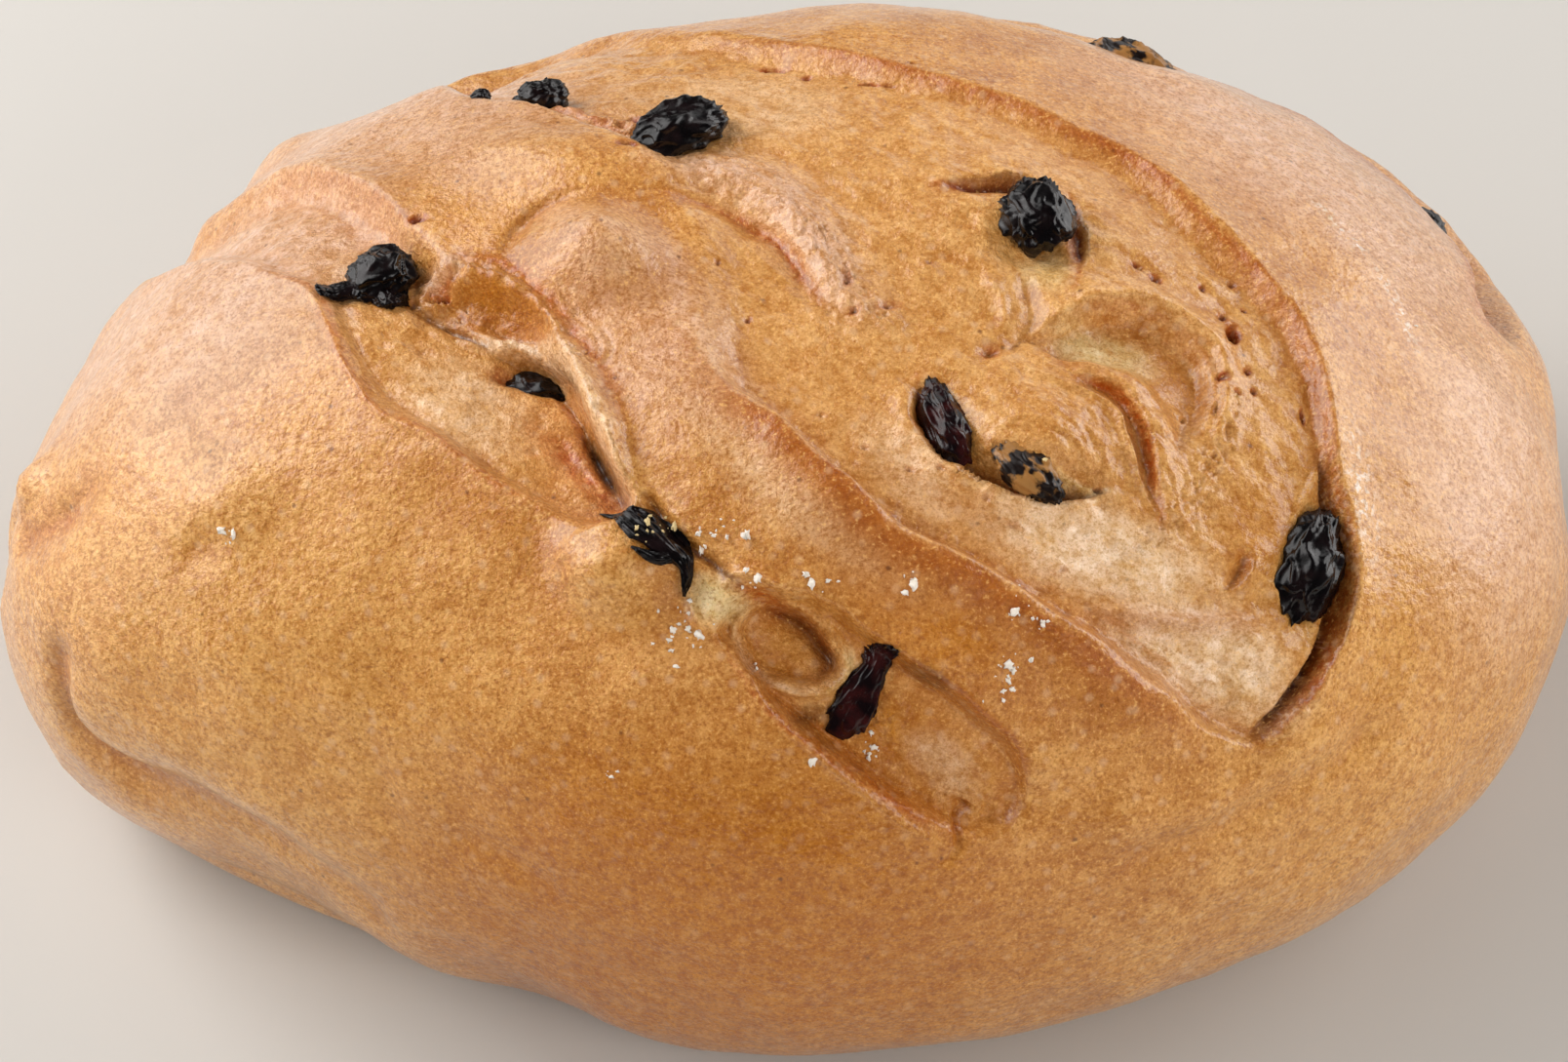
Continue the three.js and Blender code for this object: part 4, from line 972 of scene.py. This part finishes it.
def buildLoaf(material):
    bm = crustDirections()
    mesh = bpy.data.meshes.new("bakedLoaf")
    bm.to_mesh(mesh)
    bm.free()
    directions = np.empty(3 * len(mesh.vertices))
    mesh.vertices.foreach_get("co", directions)
    azimuth, polar = directionAngles(directions.reshape(-1, 3))
    points = bodyPoint(azimuth, polar)
    places = crustPlace(points)
    kinds = crustColours(places)
    points = crustPoint(azimuth, polar)
    rise = skinUnevenness(points, places, kinds["floor"])
    rise *= smoothStep(points[:, 2] / body["reliefStart"] - footCalm)
    normals = bodyNormal(azimuth, polar)
    points += normals * rise[:, None]
    # darker in hollows and lighter on crests: painted shade and painted highlight
    kinds["hollowShade"], kinds["crest"] = hollowShadeAndCrestLight(mesh, points, normals)
    mesh.vertices.foreach_set("co", (points * mm).ravel())
    for kind, values in kinds.items():
        layer = mesh.attributes.new(kind, "FLOAT", "POINT")
        layer.data.foreach_set("value", values)
    mesh.update()
    return finishPiece(mesh, "bakedLoaf", material, ["loaf"])


# Helpers for the materials
def colour(code):
    # colour code as shown on a screen, made linear
    parts = [int(code[i : i + 2], 16) / 255 for i in (0, 2, 4)]
    return (*[((part + 0.055) / 1.055) ** 2.4 if part > 0.04 else part / 12.92 for part in parts], 1)


def newMaterial(name, **sockets):
    material = bpy.data.materials.new(name)
    material.use_nodes = True
    shader = material.node_tree.nodes["Principled BSDF"]
    for socket, value in sockets.items():
        shader.inputs[socket.replace("_", " ")].default_value = value
    return material, material.node_tree, shader


def noiseNode(tree, size, detail, fineness=0.5, where=None):
    # noise whose pattern is about size millimetres across
    pattern = tree.nodes.new("ShaderNodeTexNoise")
    pattern.inputs["Scale"].default_value = 1 / (size * mm)
    pattern.inputs["Detail"].default_value = detail
    pattern.inputs["Roughness"].default_value = fineness
    tree.links.new(where or tree.nodes.new("ShaderNodeTexCoord").outputs["Object"], pattern.inputs["Vector"])
    return pattern.outputs["Fac"]


def rangeNode(tree, source, fromLow, fromHigh, toLow=0.0, toHigh=1.0):
    step = tree.nodes.new("ShaderNodeMapRange")
    step.inputs["From Min"].default_value = fromLow
    step.inputs["From Max"].default_value = fromHigh
    step.inputs["To Min"].default_value = toLow
    step.inputs["To Max"].default_value = toHigh
    tree.links.new(source, step.inputs["Value"])
    return step.outputs["Result"]


def mixNode(tree, share, first, second, blend="MIX"):
    mix = tree.nodes.new("ShaderNodeMix")
    mix.data_type = "RGBA"
    mix.blend_type = blend
    for socket, value in ((mix.inputs[0], share), (mix.inputs[6], first), (mix.inputs[7], second)):
        if isinstance(value, bpy.types.NodeSocket):
            tree.links.new(value, socket)
        else:
            socket.default_value = value
    return mix.outputs[2]


def productNode(tree, first, second):
    product = tree.nodes.new("ShaderNodeMath")
    product.operation = "MULTIPLY"
    for socket, value in zip(product.inputs, (first, second)):
        if isinstance(value, bpy.types.NodeSocket):
            tree.links.new(value, socket)
        else:
            socket.default_value = value
    return product.outputs[0]


def bumpNode(tree, height, strength, distance):
    bump = tree.nodes.new("ShaderNodeBump")
    bump.inputs["Strength"].default_value = strength
    bump.inputs["Distance"].default_value = distance * mm
    tree.links.new(height, bump.inputs["Height"])
    return bump.outputs["Normal"]


def attributeNode(tree, name):
    layer = tree.nodes.new("ShaderNodeAttribute")
    layer.attribute_name = name
    return layer.outputs["Fac"]


# The crust's colours, and the patterns that break them up
crustLook = {
    "gold": "CE9049",
    "deepGold": "B87731",
    "floor": "CE934F",
    "golden": "D0954A",
    # darker colour in hollows: painted shade
    "hollowShade": "A95A18",
    # lighter colour on crests: painted highlight
    "crest": "DDA45E",
    "cream": "EDC79B",
    "deep": "B36C1A",
    # browned crust, also used as painted shade on the dent's wall, the coil's edge, the lobe's rim and the
    # dome's flank
    "brown": "A85C1A",
    # red-brown painted shade, partly the browning of rim edges
    "redBrownAndShade": "AE4E0D",
    "pale": "DDBF85",
    # pinkish-white painted sheen of the glaze
    "paintedSheen": "D6A784",
    # near black, used as painted shade in gaps, cracks, tears and pores
    "dark": "3A1405",
    "flour": "F3E9DB",
    # bright grain colour, partly painted glints
    "sparkle": "EDB668",
    "pitColour": "8A4A16",
    "paleDots": "DDB184",
    "darkSpecks": "4E220C",
    # size of each colour's noise, its low and high end, least and most of the colour
    "patterns": {
        "flour": (0.9, 0.5, 0.6, 0, 1),
        "hollowShade": (1.4, 0.3, 0.62, 0.15, 0.4),
        "crest": (1, 0.4, 0.62, 0.2, 0.6),
        "brown": (1.8, 0.3, 0.62, 0.8, 1.1),
        "redBrownAndShade": (1.3, 0.34, 0.6, 0.4, 1.15),
        "dark": (1.3, 0.3, 0.56, 0.6, 1.15),
    },
    "plainPattern": (1.8, 0.3, 0.62, 0.66, 1.14),
    "mottle": (9, 0.36, 0.66),
    "flecks": {
        "size": 2,
        "fineness": 0.95,
        "range": (0.4, 0.6),
        "dark": (0.84, 0.72, 0.48),
        "light": (1.17, 1.28, 1.5),
    },
    "streaks": {
        "size": 3.2,
        "fineness": 0.75,
        "stretch": 2.6,
        "turn": -38,
        "range": (0.34, 0.66),
        "dark": (0.86, 0.76, 0.56),
        "light": (1.12, 1.2, 1.4),
    },
    "grain": 0.5,
    "pits": {"range": (0.46, 0.34), "onCrust": 0.4, "onFloors": 0.2},
    "glintGrains": {"range": (0.58, 0.7), "share": 0.6},
    "calmOnDeep": 0.4,
    "dots": (2.6, 0.75, 0.4),  # spacing, radius, share
    "specks": (5.5, 0.4, 0.6),
    "roughness": (0.9, 0.3, 0.7, 0.32, 0.5),  # size and range of the noise, smoothest, roughest
    "gloss": {"Specular_IOR_Level": 0.15, "Coat_Weight": 1, "Coat_Roughness": 0.24},
    "bubbles": {"size": 1.1, "height": 0.55, "fineness": 0.7, "underGlaze": 1, "onGlaze": 0.35},
}


def dotNode(tree, spacing, radius):
    # round dots about spacing apart, 1 in their middles
    cells = tree.nodes.new("ShaderNodeTexVoronoi")
    cells.inputs["Scale"].default_value = 1 / (spacing * mm)
    tree.links.new(tree.nodes.new("ShaderNodeTexCoord").outputs["Object"], cells.inputs["Vector"])
    edge = radius / spacing
    return rangeNode(tree, cells.outputs["Distance"], edge, 0.4 * edge)


def streakNode(tree):
    # noise drawn out along the slashes
    streaks = crustLook["streaks"]
    mapping = tree.nodes.new("ShaderNodeMapping")
    mapping.vector_type = "TEXTURE"
    mapping.inputs["Rotation"].default_value = (0, 0, math.radians(streaks["turn"]))
    mapping.inputs["Scale"].default_value = (streaks["stretch"], 1, 1)
    tree.links.new(tree.nodes.new("ShaderNodeTexCoord").outputs["Object"], mapping.inputs["Vector"])
    return noiseNode(tree, streaks["size"], 5, streaks["fineness"], mapping.outputs["Vector"])


def bakedTint(tree):
    # golden crust with the other colours laid over it in turn
    look = crustLook
    size, low, high = look["mottle"]
    mottle = rangeNode(tree, noiseNode(tree, size, 4), low, high)
    tint = mixNode(tree, mottle, colour(look["gold"]), colour(look["deepGold"]))
    for kind in crustKinds:
        size, low, high, least, most = look["patterns"].get(kind, look["plainPattern"])
        uneven = rangeNode(tree, noiseNode(tree, size, 3), low, high, least, most)
        share = productNode(tree, attributeNode(tree, kind), uneven)
        tint = mixNode(tree, share, tint, colour(look[kind]))
    return tint


def fleckedTint(tree, tint):
    # lighter and darker flecks everywhere, and streaks on the floors of the slashes
    flecks, streaks = crustLook["flecks"], crustLook["streaks"]
    pattern = noiseNode(tree, flecks["size"], 5, flecks["fineness"])
    fleck = rangeNode(tree, pattern, *flecks["range"])
    tone = mixNode(tree, fleck, (*flecks["dark"], 1), (*flecks["light"], 1))
    tint = mixNode(tree, 1, tint, tone, "MULTIPLY")
    streak = rangeNode(tree, streakNode(tree), *streaks["range"])
    tone = mixNode(tree, streak, (*streaks["dark"], 1), (*streaks["light"], 1))
    return mixNode(tree, attributeNode(tree, "floor"), tint, tone, "MULTIPLY")


def grainyTint(tree, tint):
    # dark pits, bright grains that are partly painted glints, pale dots and a few dark specks
    look = crustLook
    grain = noiseNode(tree, look["grain"], 4)
    pits = rangeNode(tree, grain, *look["pits"]["range"])
    onFloors = attributeNode(tree, "floor")
    share = rangeNode(tree, onFloors, 0, 1, look["pits"]["onCrust"], look["pits"]["onFloors"])
    tint = mixNode(tree, productNode(tree, pits, share), tint, colour(look["pitColour"]))
    calm = rangeNode(tree, attributeNode(tree, "deep"), 0, 1, 1, look["calmOnDeep"])
    bright = rangeNode(tree, grain, *look["glintGrains"]["range"])
    share = productNode(tree, productNode(tree, bright, look["glintGrains"]["share"]), calm)
    tint = mixNode(tree, share, tint, colour(look["sparkle"]))
    spacing, radius, most = look["dots"]
    dots = productNode(tree, dotNode(tree, spacing, radius), most)
    tint = mixNode(tree, productNode(tree, dots, calm), tint, colour(look["paleDots"]))
    spacing, radius, most = look["specks"]
    specks = productNode(tree, dotNode(tree, spacing, radius), most)
    return mixNode(tree, specks, tint, colour(look["darkSpecks"]))


def crustMaterial():
    look, bubbles = crustLook, crustLook["bubbles"]
    material, tree, shader = newMaterial("baked crust", **look["gloss"])
    tint = grainyTint(tree, fleckedTint(tree, bakedTint(tree)))
    tree.links.new(tint, shader.inputs["Base Color"])
    size, *ends = look["roughness"]
    gloss = rangeNode(tree, noiseNode(tree, size, 3), *ends)
    tree.links.new(gloss, shader.inputs["Roughness"])
    skin = noiseNode(tree, bubbles["size"], 3, bubbles["fineness"])
    underGlaze = bumpNode(tree, skin, bubbles["underGlaze"], bubbles["height"])
    tree.links.new(underGlaze, shader.inputs["Normal"])
    skin = noiseNode(tree, bubbles["size"], 3)
    onGlaze = bumpNode(tree, skin, bubbles["onGlaze"], bubbles["height"])
    tree.links.new(onGlaze, shader.inputs["Coat Normal"])
    return material


# Plump raisins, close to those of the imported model: place, half sizes, heading, lift and skin
raisins = {
    "raisin_01": {"at": (-42, -1), "half": (4.3, 3.7, 3), "heading": 10, "lift": 1.5, "skin": "black"},
    "raisin_02": {"at": (-21.8, -18.4), "half": (4.7, 2.6, 2.3), "heading": -14, "lift": 0, "skin": "black"},
    "raisin_05": {"at": (-23, 34), "half": (3.6, 3, 2.7), "heading": 10, "lift": 1.5, "skin": "black"},
    "raisin_06": {"at": (-32, 36), "half": (1.4, 1.2, 1.1), "heading": 0, "lift": 0.4, "skin": "black"},
    "raisin_07": {"at": (-3, 22), "half": (6.6, 3.8, 3.2), "heading": 32, "lift": 2, "skin": "black"},
    "raisin_08": {"at": (43.4, 6), "half": (5.4, 4.5, 3.5), "heading": 100, "lift": 1.6, "skin": "black"},
    "raisin_09": {"at": (32.2, -27), "half": (6, 2.8, 2.6), "heading": -70, "lift": 1.2, "skin": "red"},
    "raisin_10": {"at": (44, -34.6), "half": (5.2, 2.8, 2.4), "heading": -42, "lift": 0.8, "skin": "filmed"},
    "raisin_11": {"at": (88.5, -41.6), "half": (7.2, 4.1, 3.6), "heading": 86, "lift": 1.2, "skin": "black"},
    "raisin_12": {"at": (67, 59), "half": (6.3, 4, 3.6), "heading": -20, "lift": -1.4, "skin": "filmed"},
    "raisin_13": {"at": (122, 45), "half": (2.8, 2.4, 2.2), "heading": -60, "lift": 2, "skin": "black"},
}
# Flat torn raisins: their path with half widths, half thickness and lift
drapedRaisins = {
    "raisin_03": {
        "path": [
            (-13.4, -42.4, 0.4), (-9.9, -43.5, 1.7), (-7, -45.6, 2.5), (-4, -47.6, 2.4),
            (-1.9, -49.6, 1.8), (-0.8, -52, 1.1), (-1.2, -55.8, 0.6),
        ],
        "thick": 0.9,
        "lift": 0.5,
        "skin": "black",
    },
    "raisin_04": {
        "path": [
            (26.5, -61.8, 3.6), (26, -65, 1.9), (24.6, -68.6, 2.6), (23.4, -72, 3.6), (21.4, -76.4, 5),
        ],
        "thick": 1,
        "lift": 0.1,
        "skin": "red",
    },
}
# Torn lobes that belong to a raisin
raisinStrips = {
    "raisin_01": [
        {"path": [(-44.5, -2.8, 1.6), (-47.5, -3.6, 1.6), (-50.8, -4.4, 2.4)], "thick": 0.9, "lift": 0.7},
        {"path": [(-44, -2.2, 1.6), (-45.2, -5.4, 2.2)], "thick": 0.9, "lift": 0.6},
        {"path": [(-41.2, -2, 2.6), (-41, -4.8, 2.4), (-40.6, -6.8, 2.2)], "thick": 1, "lift": 0.6},
    ],
    "raisin_03": [
        {"path": [(-7.5, -49.3, 0.5), (-4.5, -50.6, 0.9), (-1, -50, 1)], "thick": 0.7, "lift": 0.6},
    ],
}
# Skin of a raisin about 1 in radius: height and fineness of each kind of wrinkle
raisinSkin = {
    "subdivisions": 5,
    "fold": (0.14, 1.5),
    "wrinkle": (0.1, 1 / 0.36),
    "dent": (0.16, 1.1),
    "warp": (0.3, 1.6),
    "lengthwise": 0.6,
    "crestWidth": 0.16,
    "crestRise": 0.4,
}


def crustFrames(places):
    azimuth, polar = anglesAt(np.asarray(places, float))
    return crustPoint(azimuth, polar), bodyNormal(azimuth, polar)


def crestAt(point):
    # thin crest lines with wide hollows between them
    return math.exp(-((noise.noise(point) / raisinSkin["crestWidth"]) ** 2)) - raisinSkin["crestRise"]


def raisinBall(seed):
    # a ball with deep lengthwise folds, finer wrinkles and a few dents, about 1 in radius
    bm = bmesh.new()
    bmesh.ops.create_icosphere(bm, subdivisions=raisinSkin["subdivisions"], radius=1)
    shift = Vector((seed * 3.7, seed * 1.9, -seed * 2.3))
    fold, foldFineness = raisinSkin["fold"]
    wrinkle, wrinkleFineness = raisinSkin["wrinkle"]
    dent, dentFineness = raisinSkin["dent"]
    warp, warpFineness = raisinSkin["warp"]
    for vert in bm.verts:
        direction = vert.co.copy()
        warped = direction + warp * noise.noise_vector(direction * warpFineness + shift)
        stretched = Vector((warped.x * raisinSkin["lengthwise"], warped.y, warped.z))
        swell = fold * crestAt(stretched * foldFineness + shift)
        swell += wrinkle * crestAt(stretched * wrinkleFineness - shift)
        swell += dent * noise.noise(direction * dentFineness - shift)
        vert.co = direction * (1 + swell)
    return bm


def plumpRaisin(values, seed):
    # a whole raisin that lies in its pocket
    bm = raisinBall(seed)
    point, normal = (array[0] for array in crustFrames([values["at"]]))
    heading = math.radians(values["heading"])
    ahead = np.array([math.cos(heading), math.sin(heading), 0])
    ahead -= (ahead @ normal) * normal
    ahead /= np.linalg.norm(ahead)
    aside = np.cross(normal, ahead)
    half = values["half"]
    for vert in bm.verts:
        x, y, z = vert.co
        place = point + x * half[0] * ahead + y * half[1] * aside + (values["lift"] + z * half[2]) * normal
        vert.co = place * mm
    return bm


def drapedRaisin(values, seed):
    # a flat torn raisin that follows the crust along its path
    bm = raisinBall(seed)
    track, widths = smoothCurve(values["path"], False)
    corners = np.array([vert.co for vert in bm.verts])
    along = np.clip((corners[:, 0] + 1) / 2, 0, 1) * (len(track) - 1)
    step = np.minimum(along.astype(int), len(track) - 2)
    travel = track[step + 1] - track[step]
    ahead = travel / np.linalg.norm(travel, axis=1, keepdims=True)
    aside = np.stack([-ahead[:, 1], ahead[:, 0]], 1)
    places = track[step] + travel * (along - step)[:, None]
    places += aside * (corners[:, 1] * widths[step, 0])[:, None]
    points, normals = crustFrames(places)
    points += normals * (values["lift"] + corners[:, 2] * values["thick"])[:, None]
    for vert, point in zip(bm.verts, points):
        vert.co = point * mm
    return bm


def joinInto(bm, other):
    # adds the faces of another bmesh
    mesh = bpy.data.meshes.new("scrap")
    other.to_mesh(mesh)
    other.free()
    bm.from_mesh(mesh)
    bpy.data.meshes.remove(mesh)


def buildRaisins(skins):
    for number, (name, values) in enumerate(sorted({**raisins, **drapedRaisins}.items())):
        bm = plumpRaisin(values, number) if name in raisins else drapedRaisin(values, number)
        for extra, strip in enumerate(raisinStrips.get(name, [])):
            joinInto(bm, drapedRaisin(strip, 20 + 3 * number + extra))
        bmesh.ops.recalc_face_normals(bm, faces=bm.faces)
        newPiece(bm, name.replace("_", "Skin"), skins[values["skin"]], [name])


# Raisin skins: name, dark base, lighter clouds, smoothest and roughest skin, and share of the dough film
raisinLooks = {
    "black": ("black raisin skin", "060405", "180D0E", (0.18, 0.36), 0),
    "red": ("dark red raisin skin", "0E0507", "35100F", (0.16, 0.32), 0),
    "filmed": ("filmed raisin skin", "140B08", "2C190E", (0.3, 0.55), 0.85),
}
# Patterns on the skins: size of the noise, its low and high end
skinPatterns = {
    "cloud": (2.6, 0.45, 0.7),
    "film": (2.6, 0.47, 0.55),
    "filmColour": "A8773F",
    "roughness": (1.6, 0.35, 0.68),
    "fineWrinkle": (1, 0.4, 0.25),  # size, strength, height
    "gloss": {"Specular_IOR_Level": 0.22, "Coat_Weight": 0.3, "Coat_Roughness": 0.1},
}


def raisinMaterial(name, base, cloudColour, roughness, film):
    material, tree, shader = newMaterial(name, **skinPatterns["gloss"])
    size, low, high = skinPatterns["cloud"]
    cloud = rangeNode(tree, noiseNode(tree, size, 4), low, high)
    tint = mixNode(tree, cloud, colour(base), colour(cloudColour))
    if film:
        size, low, high = skinPatterns["film"]
        patches = rangeNode(tree, noiseNode(tree, size, 4), low, high, 0, film)
        tint = mixNode(tree, patches, tint, colour(skinPatterns["filmColour"]))
    tree.links.new(tint, shader.inputs["Base Color"])
    size, low, high = skinPatterns["roughness"]
    gloss = rangeNode(tree, noiseNode(tree, size, 3), low, high, *roughness)
    tree.links.new(gloss, shader.inputs["Roughness"])
    size, strength, height = skinPatterns["fineWrinkle"]
    fineWrinkle = bumpNode(tree, noiseNode(tree, size, 2), strength, height)
    tree.links.new(fineWrinkle, shader.inputs["Normal"])
    return material


# Crumbs and flour that lie on the crust: middle, spread, how many and their size
whiteCrumbs = {
    "clusters": [
        ((3, -47), 3.2, 12, 0.5), ((-2, -61), 4, 22, 0.42), ((8, -54), 1.6, 5, 0.45),
        ((17, -54), 1.8, 7, 0.42), ((29, -53), 1.6, 8, 0.42), ((44, -55), 2.5, 10, 0.38),
        ((48, -57), 2, 6, 0.36), ((44, -64), 3.5, 18, 0.4), ((27, -78), 1.8, 9, 0.5),
        ((-67, -40), 1.4, 8, 0.45), ((-30, -76), 0.9, 3, 0.42), ((9, -66), 0.8, 3, 0.35),
        ((18, -78), 0.8, 2, 0.4), ((34, -88), 0.9, 2, 0.6), ((-14, -80), 3, 7, 0.25),
        ((90, 18), 4, 14, 0.25), ((101, 2), 3.5, 12, 0.25),
    ],
    "raisinCrumbs": [((-5, -47), 2.6, 14, 0.38), ((44, -35), 2.2, 7, 0.35)],
    "seed": 11,
    "sizeRange": (0.35, 1.3),
    "squash": (0.45, 1.3),
    "ragged": (0.8, 1.1, 1.5),
    "risesBy": 0.25,
    "onRaisins": 1.2,
}


def addCrumb(bm, draw, middle, normal, size):
    # one ragged crumb, a little above the point it lies on
    least, spread = whiteCrumbs["sizeRange"]
    radius = size * (least + spread * draw.random() ** 3)
    made = bmesh.ops.create_icosphere(bm, subdivisions=2, radius=1)["verts"]
    shift = Vector([draw.uniform(-50, 50) for _ in range(3)])
    squash = Vector([draw.uniform(*whiteCrumbs["squash"]) for _ in range(3)])
    base, swing, fineness = whiteCrumbs["ragged"]
    middle = Vector(middle + normal * whiteCrumbs["risesBy"] * radius)
    for vert in made:
        ragged = radius * (base + swing * noise.noise(vert.co * fineness + shift))
        vert.co = (middle + vert.co * ragged * squash) * mm


def scatterCrumbs(clusters, seed, lift):
    draw = random.Random(seed)
    bm = bmesh.new()
    for (x, y), spread, count, size in clusters:
        spots = [(draw.gauss(0, spread / 2) + x, draw.gauss(0, spread / 2) + y) for _ in range(count)]
        for point, normal in zip(*crustFrames(spots)):
            addCrumb(bm, draw, point + normal * lift, normal, size)
    return bm


def buildCrumbs():
    crumb, _, _ = newMaterial("white flour crumb", Base_Color=colour("EFE6D8"), Roughness=0.85)
    newPiece(scatterCrumbs(whiteCrumbs["clusters"], whiteCrumbs["seed"], 0), "flourCrumbs", crumb)
    baked, _, _ = newMaterial("pale bread crumb", Base_Color=colour("D8C08A"), Roughness=0.8)
    onRaisins = scatterCrumbs(whiteCrumbs["raisinCrumbs"], whiteCrumbs["seed"] + 1, whiteCrumbs["onRaisins"])
    newPiece(onRaisins, "raisinCrumbs", baked)


# Camera: the photo looks down on the loaf from the front
photoView = {"target": (-1.5, -7.46, 36.59), "distance": 520, "elevation": 50, "lens": 89.7}


def addCamera():
    elevation = math.radians(photoView["elevation"])
    data = bpy.data.cameras.new("photoCamera")
    data.lens = photoView["lens"]
    data.sensor_width = 36
    data.clip_start, data.clip_end = 0.01, 10
    camera = bpy.data.objects.new("photoCamera", data)
    back = Vector((0, -math.cos(elevation), math.sin(elevation)))
    camera.location = (Vector(photoView["target"]) + back * photoView["distance"]) * mm
    camera.rotation_euler = (math.pi / 2 - elevation, 0, 0)
    bpy.context.collection.objects.link(camera)
    bpy.context.scene.camera = camera


# Light: soft lamps round the loaf, each by its angle from the back, height angle, distance, size and watts
studio = {
    "lamps": {
        "backLeftWideLamp": (-60, 34, 0.9, 1, 3),
        "backLeftLamp": (-60, 34, 0.9, 0.5, 6.2),
        "leftLamp": (-95, 15, 0.9, 0.8, 2.8),
        "leftHighLamp": (-90, 50, 0.9, 1, 1.5),
        "rightLamp": (70, 18, 0.9, 0.8, 5.5),
        "backRightLamp": (28, 18, 0.9, 0.8, 1.6),
        "frontLeftLamp": (-140, 25, 1, 0.7, 1),
        "frontRightLamp": (140, 25, 1, 0.7, 5.4),
        "frontLamp": (180, 45, 1, 0.7, 1),
        "glossLamp": (-60, 38, 0.9, 1.2, 5),
    },
    "withoutGloss": ("frontLeftLamp", "frontRightLamp", "frontLamp"),
    "onlyGloss": ("glossLamp",),
    "lampColour": (1, 0.98, 0.97),
    "aimHeight": 0.05,
    "room": (1, 0.99, 0.98),
    "roomStrength": 0.04,
    "floor": "C2BFB9",
}


def addStudio():
    for name, (turn, rise, distance, size, watts) in studio["lamps"].items():
        data = bpy.data.lights.new(name, "AREA")
        data.shape = "DISK"
        data.size = size
        data.energy = watts
        data.color = studio["lampColour"]
        lamp = bpy.data.objects.new(name, data)
        lamp.visible_glossy = name not in studio["withoutGloss"]
        lamp.visible_diffuse = name not in studio["onlyGloss"]
        turn, rise = math.radians(turn), math.radians(rise)
        away = Vector((math.sin(turn) * math.cos(rise), math.cos(turn) * math.cos(rise), math.sin(rise)))
        lamp.location = distance * away + Vector((0, 0, studio["aimHeight"]))
        lamp.rotation_euler = away.to_track_quat("Z", "Y").to_euler()
        bpy.context.collection.objects.link(lamp)
    world = bpy.data.worlds.new("room")
    world.use_nodes = True
    world.node_tree.nodes["Background"].inputs["Color"].default_value = (*studio["room"], 1)
    world.node_tree.nodes["Background"].inputs["Strength"].default_value = studio["roomStrength"]
    bpy.context.scene.world = world
    bpy.context.scene.view_settings.view_transform = "Standard"
    bm = bmesh.new()
    bmesh.ops.create_grid(bm, x_segments=1, y_segments=1, size=4)
    mesh = bpy.data.meshes.new("floor")
    bm.to_mesh(mesh)
    bm.free()
    material, _, _ = newMaterial("pale floor", Base_Color=colour(studio["floor"]), Roughness=0.7)
    mesh.materials.append(material)
    floor = bpy.data.objects.new("floor", mesh)
    bpy.context.collection.objects.link(floor)


addCamera()
addStudio()
print("camera and studio ready")
buildLoaf(crustMaterial())
print("loaf ready")
buildRaisins({skin: raisinMaterial(*look) for skin, look in raisinLooks.items()})
print("raisins ready")
buildCrumbs()
print("crumbs ready")
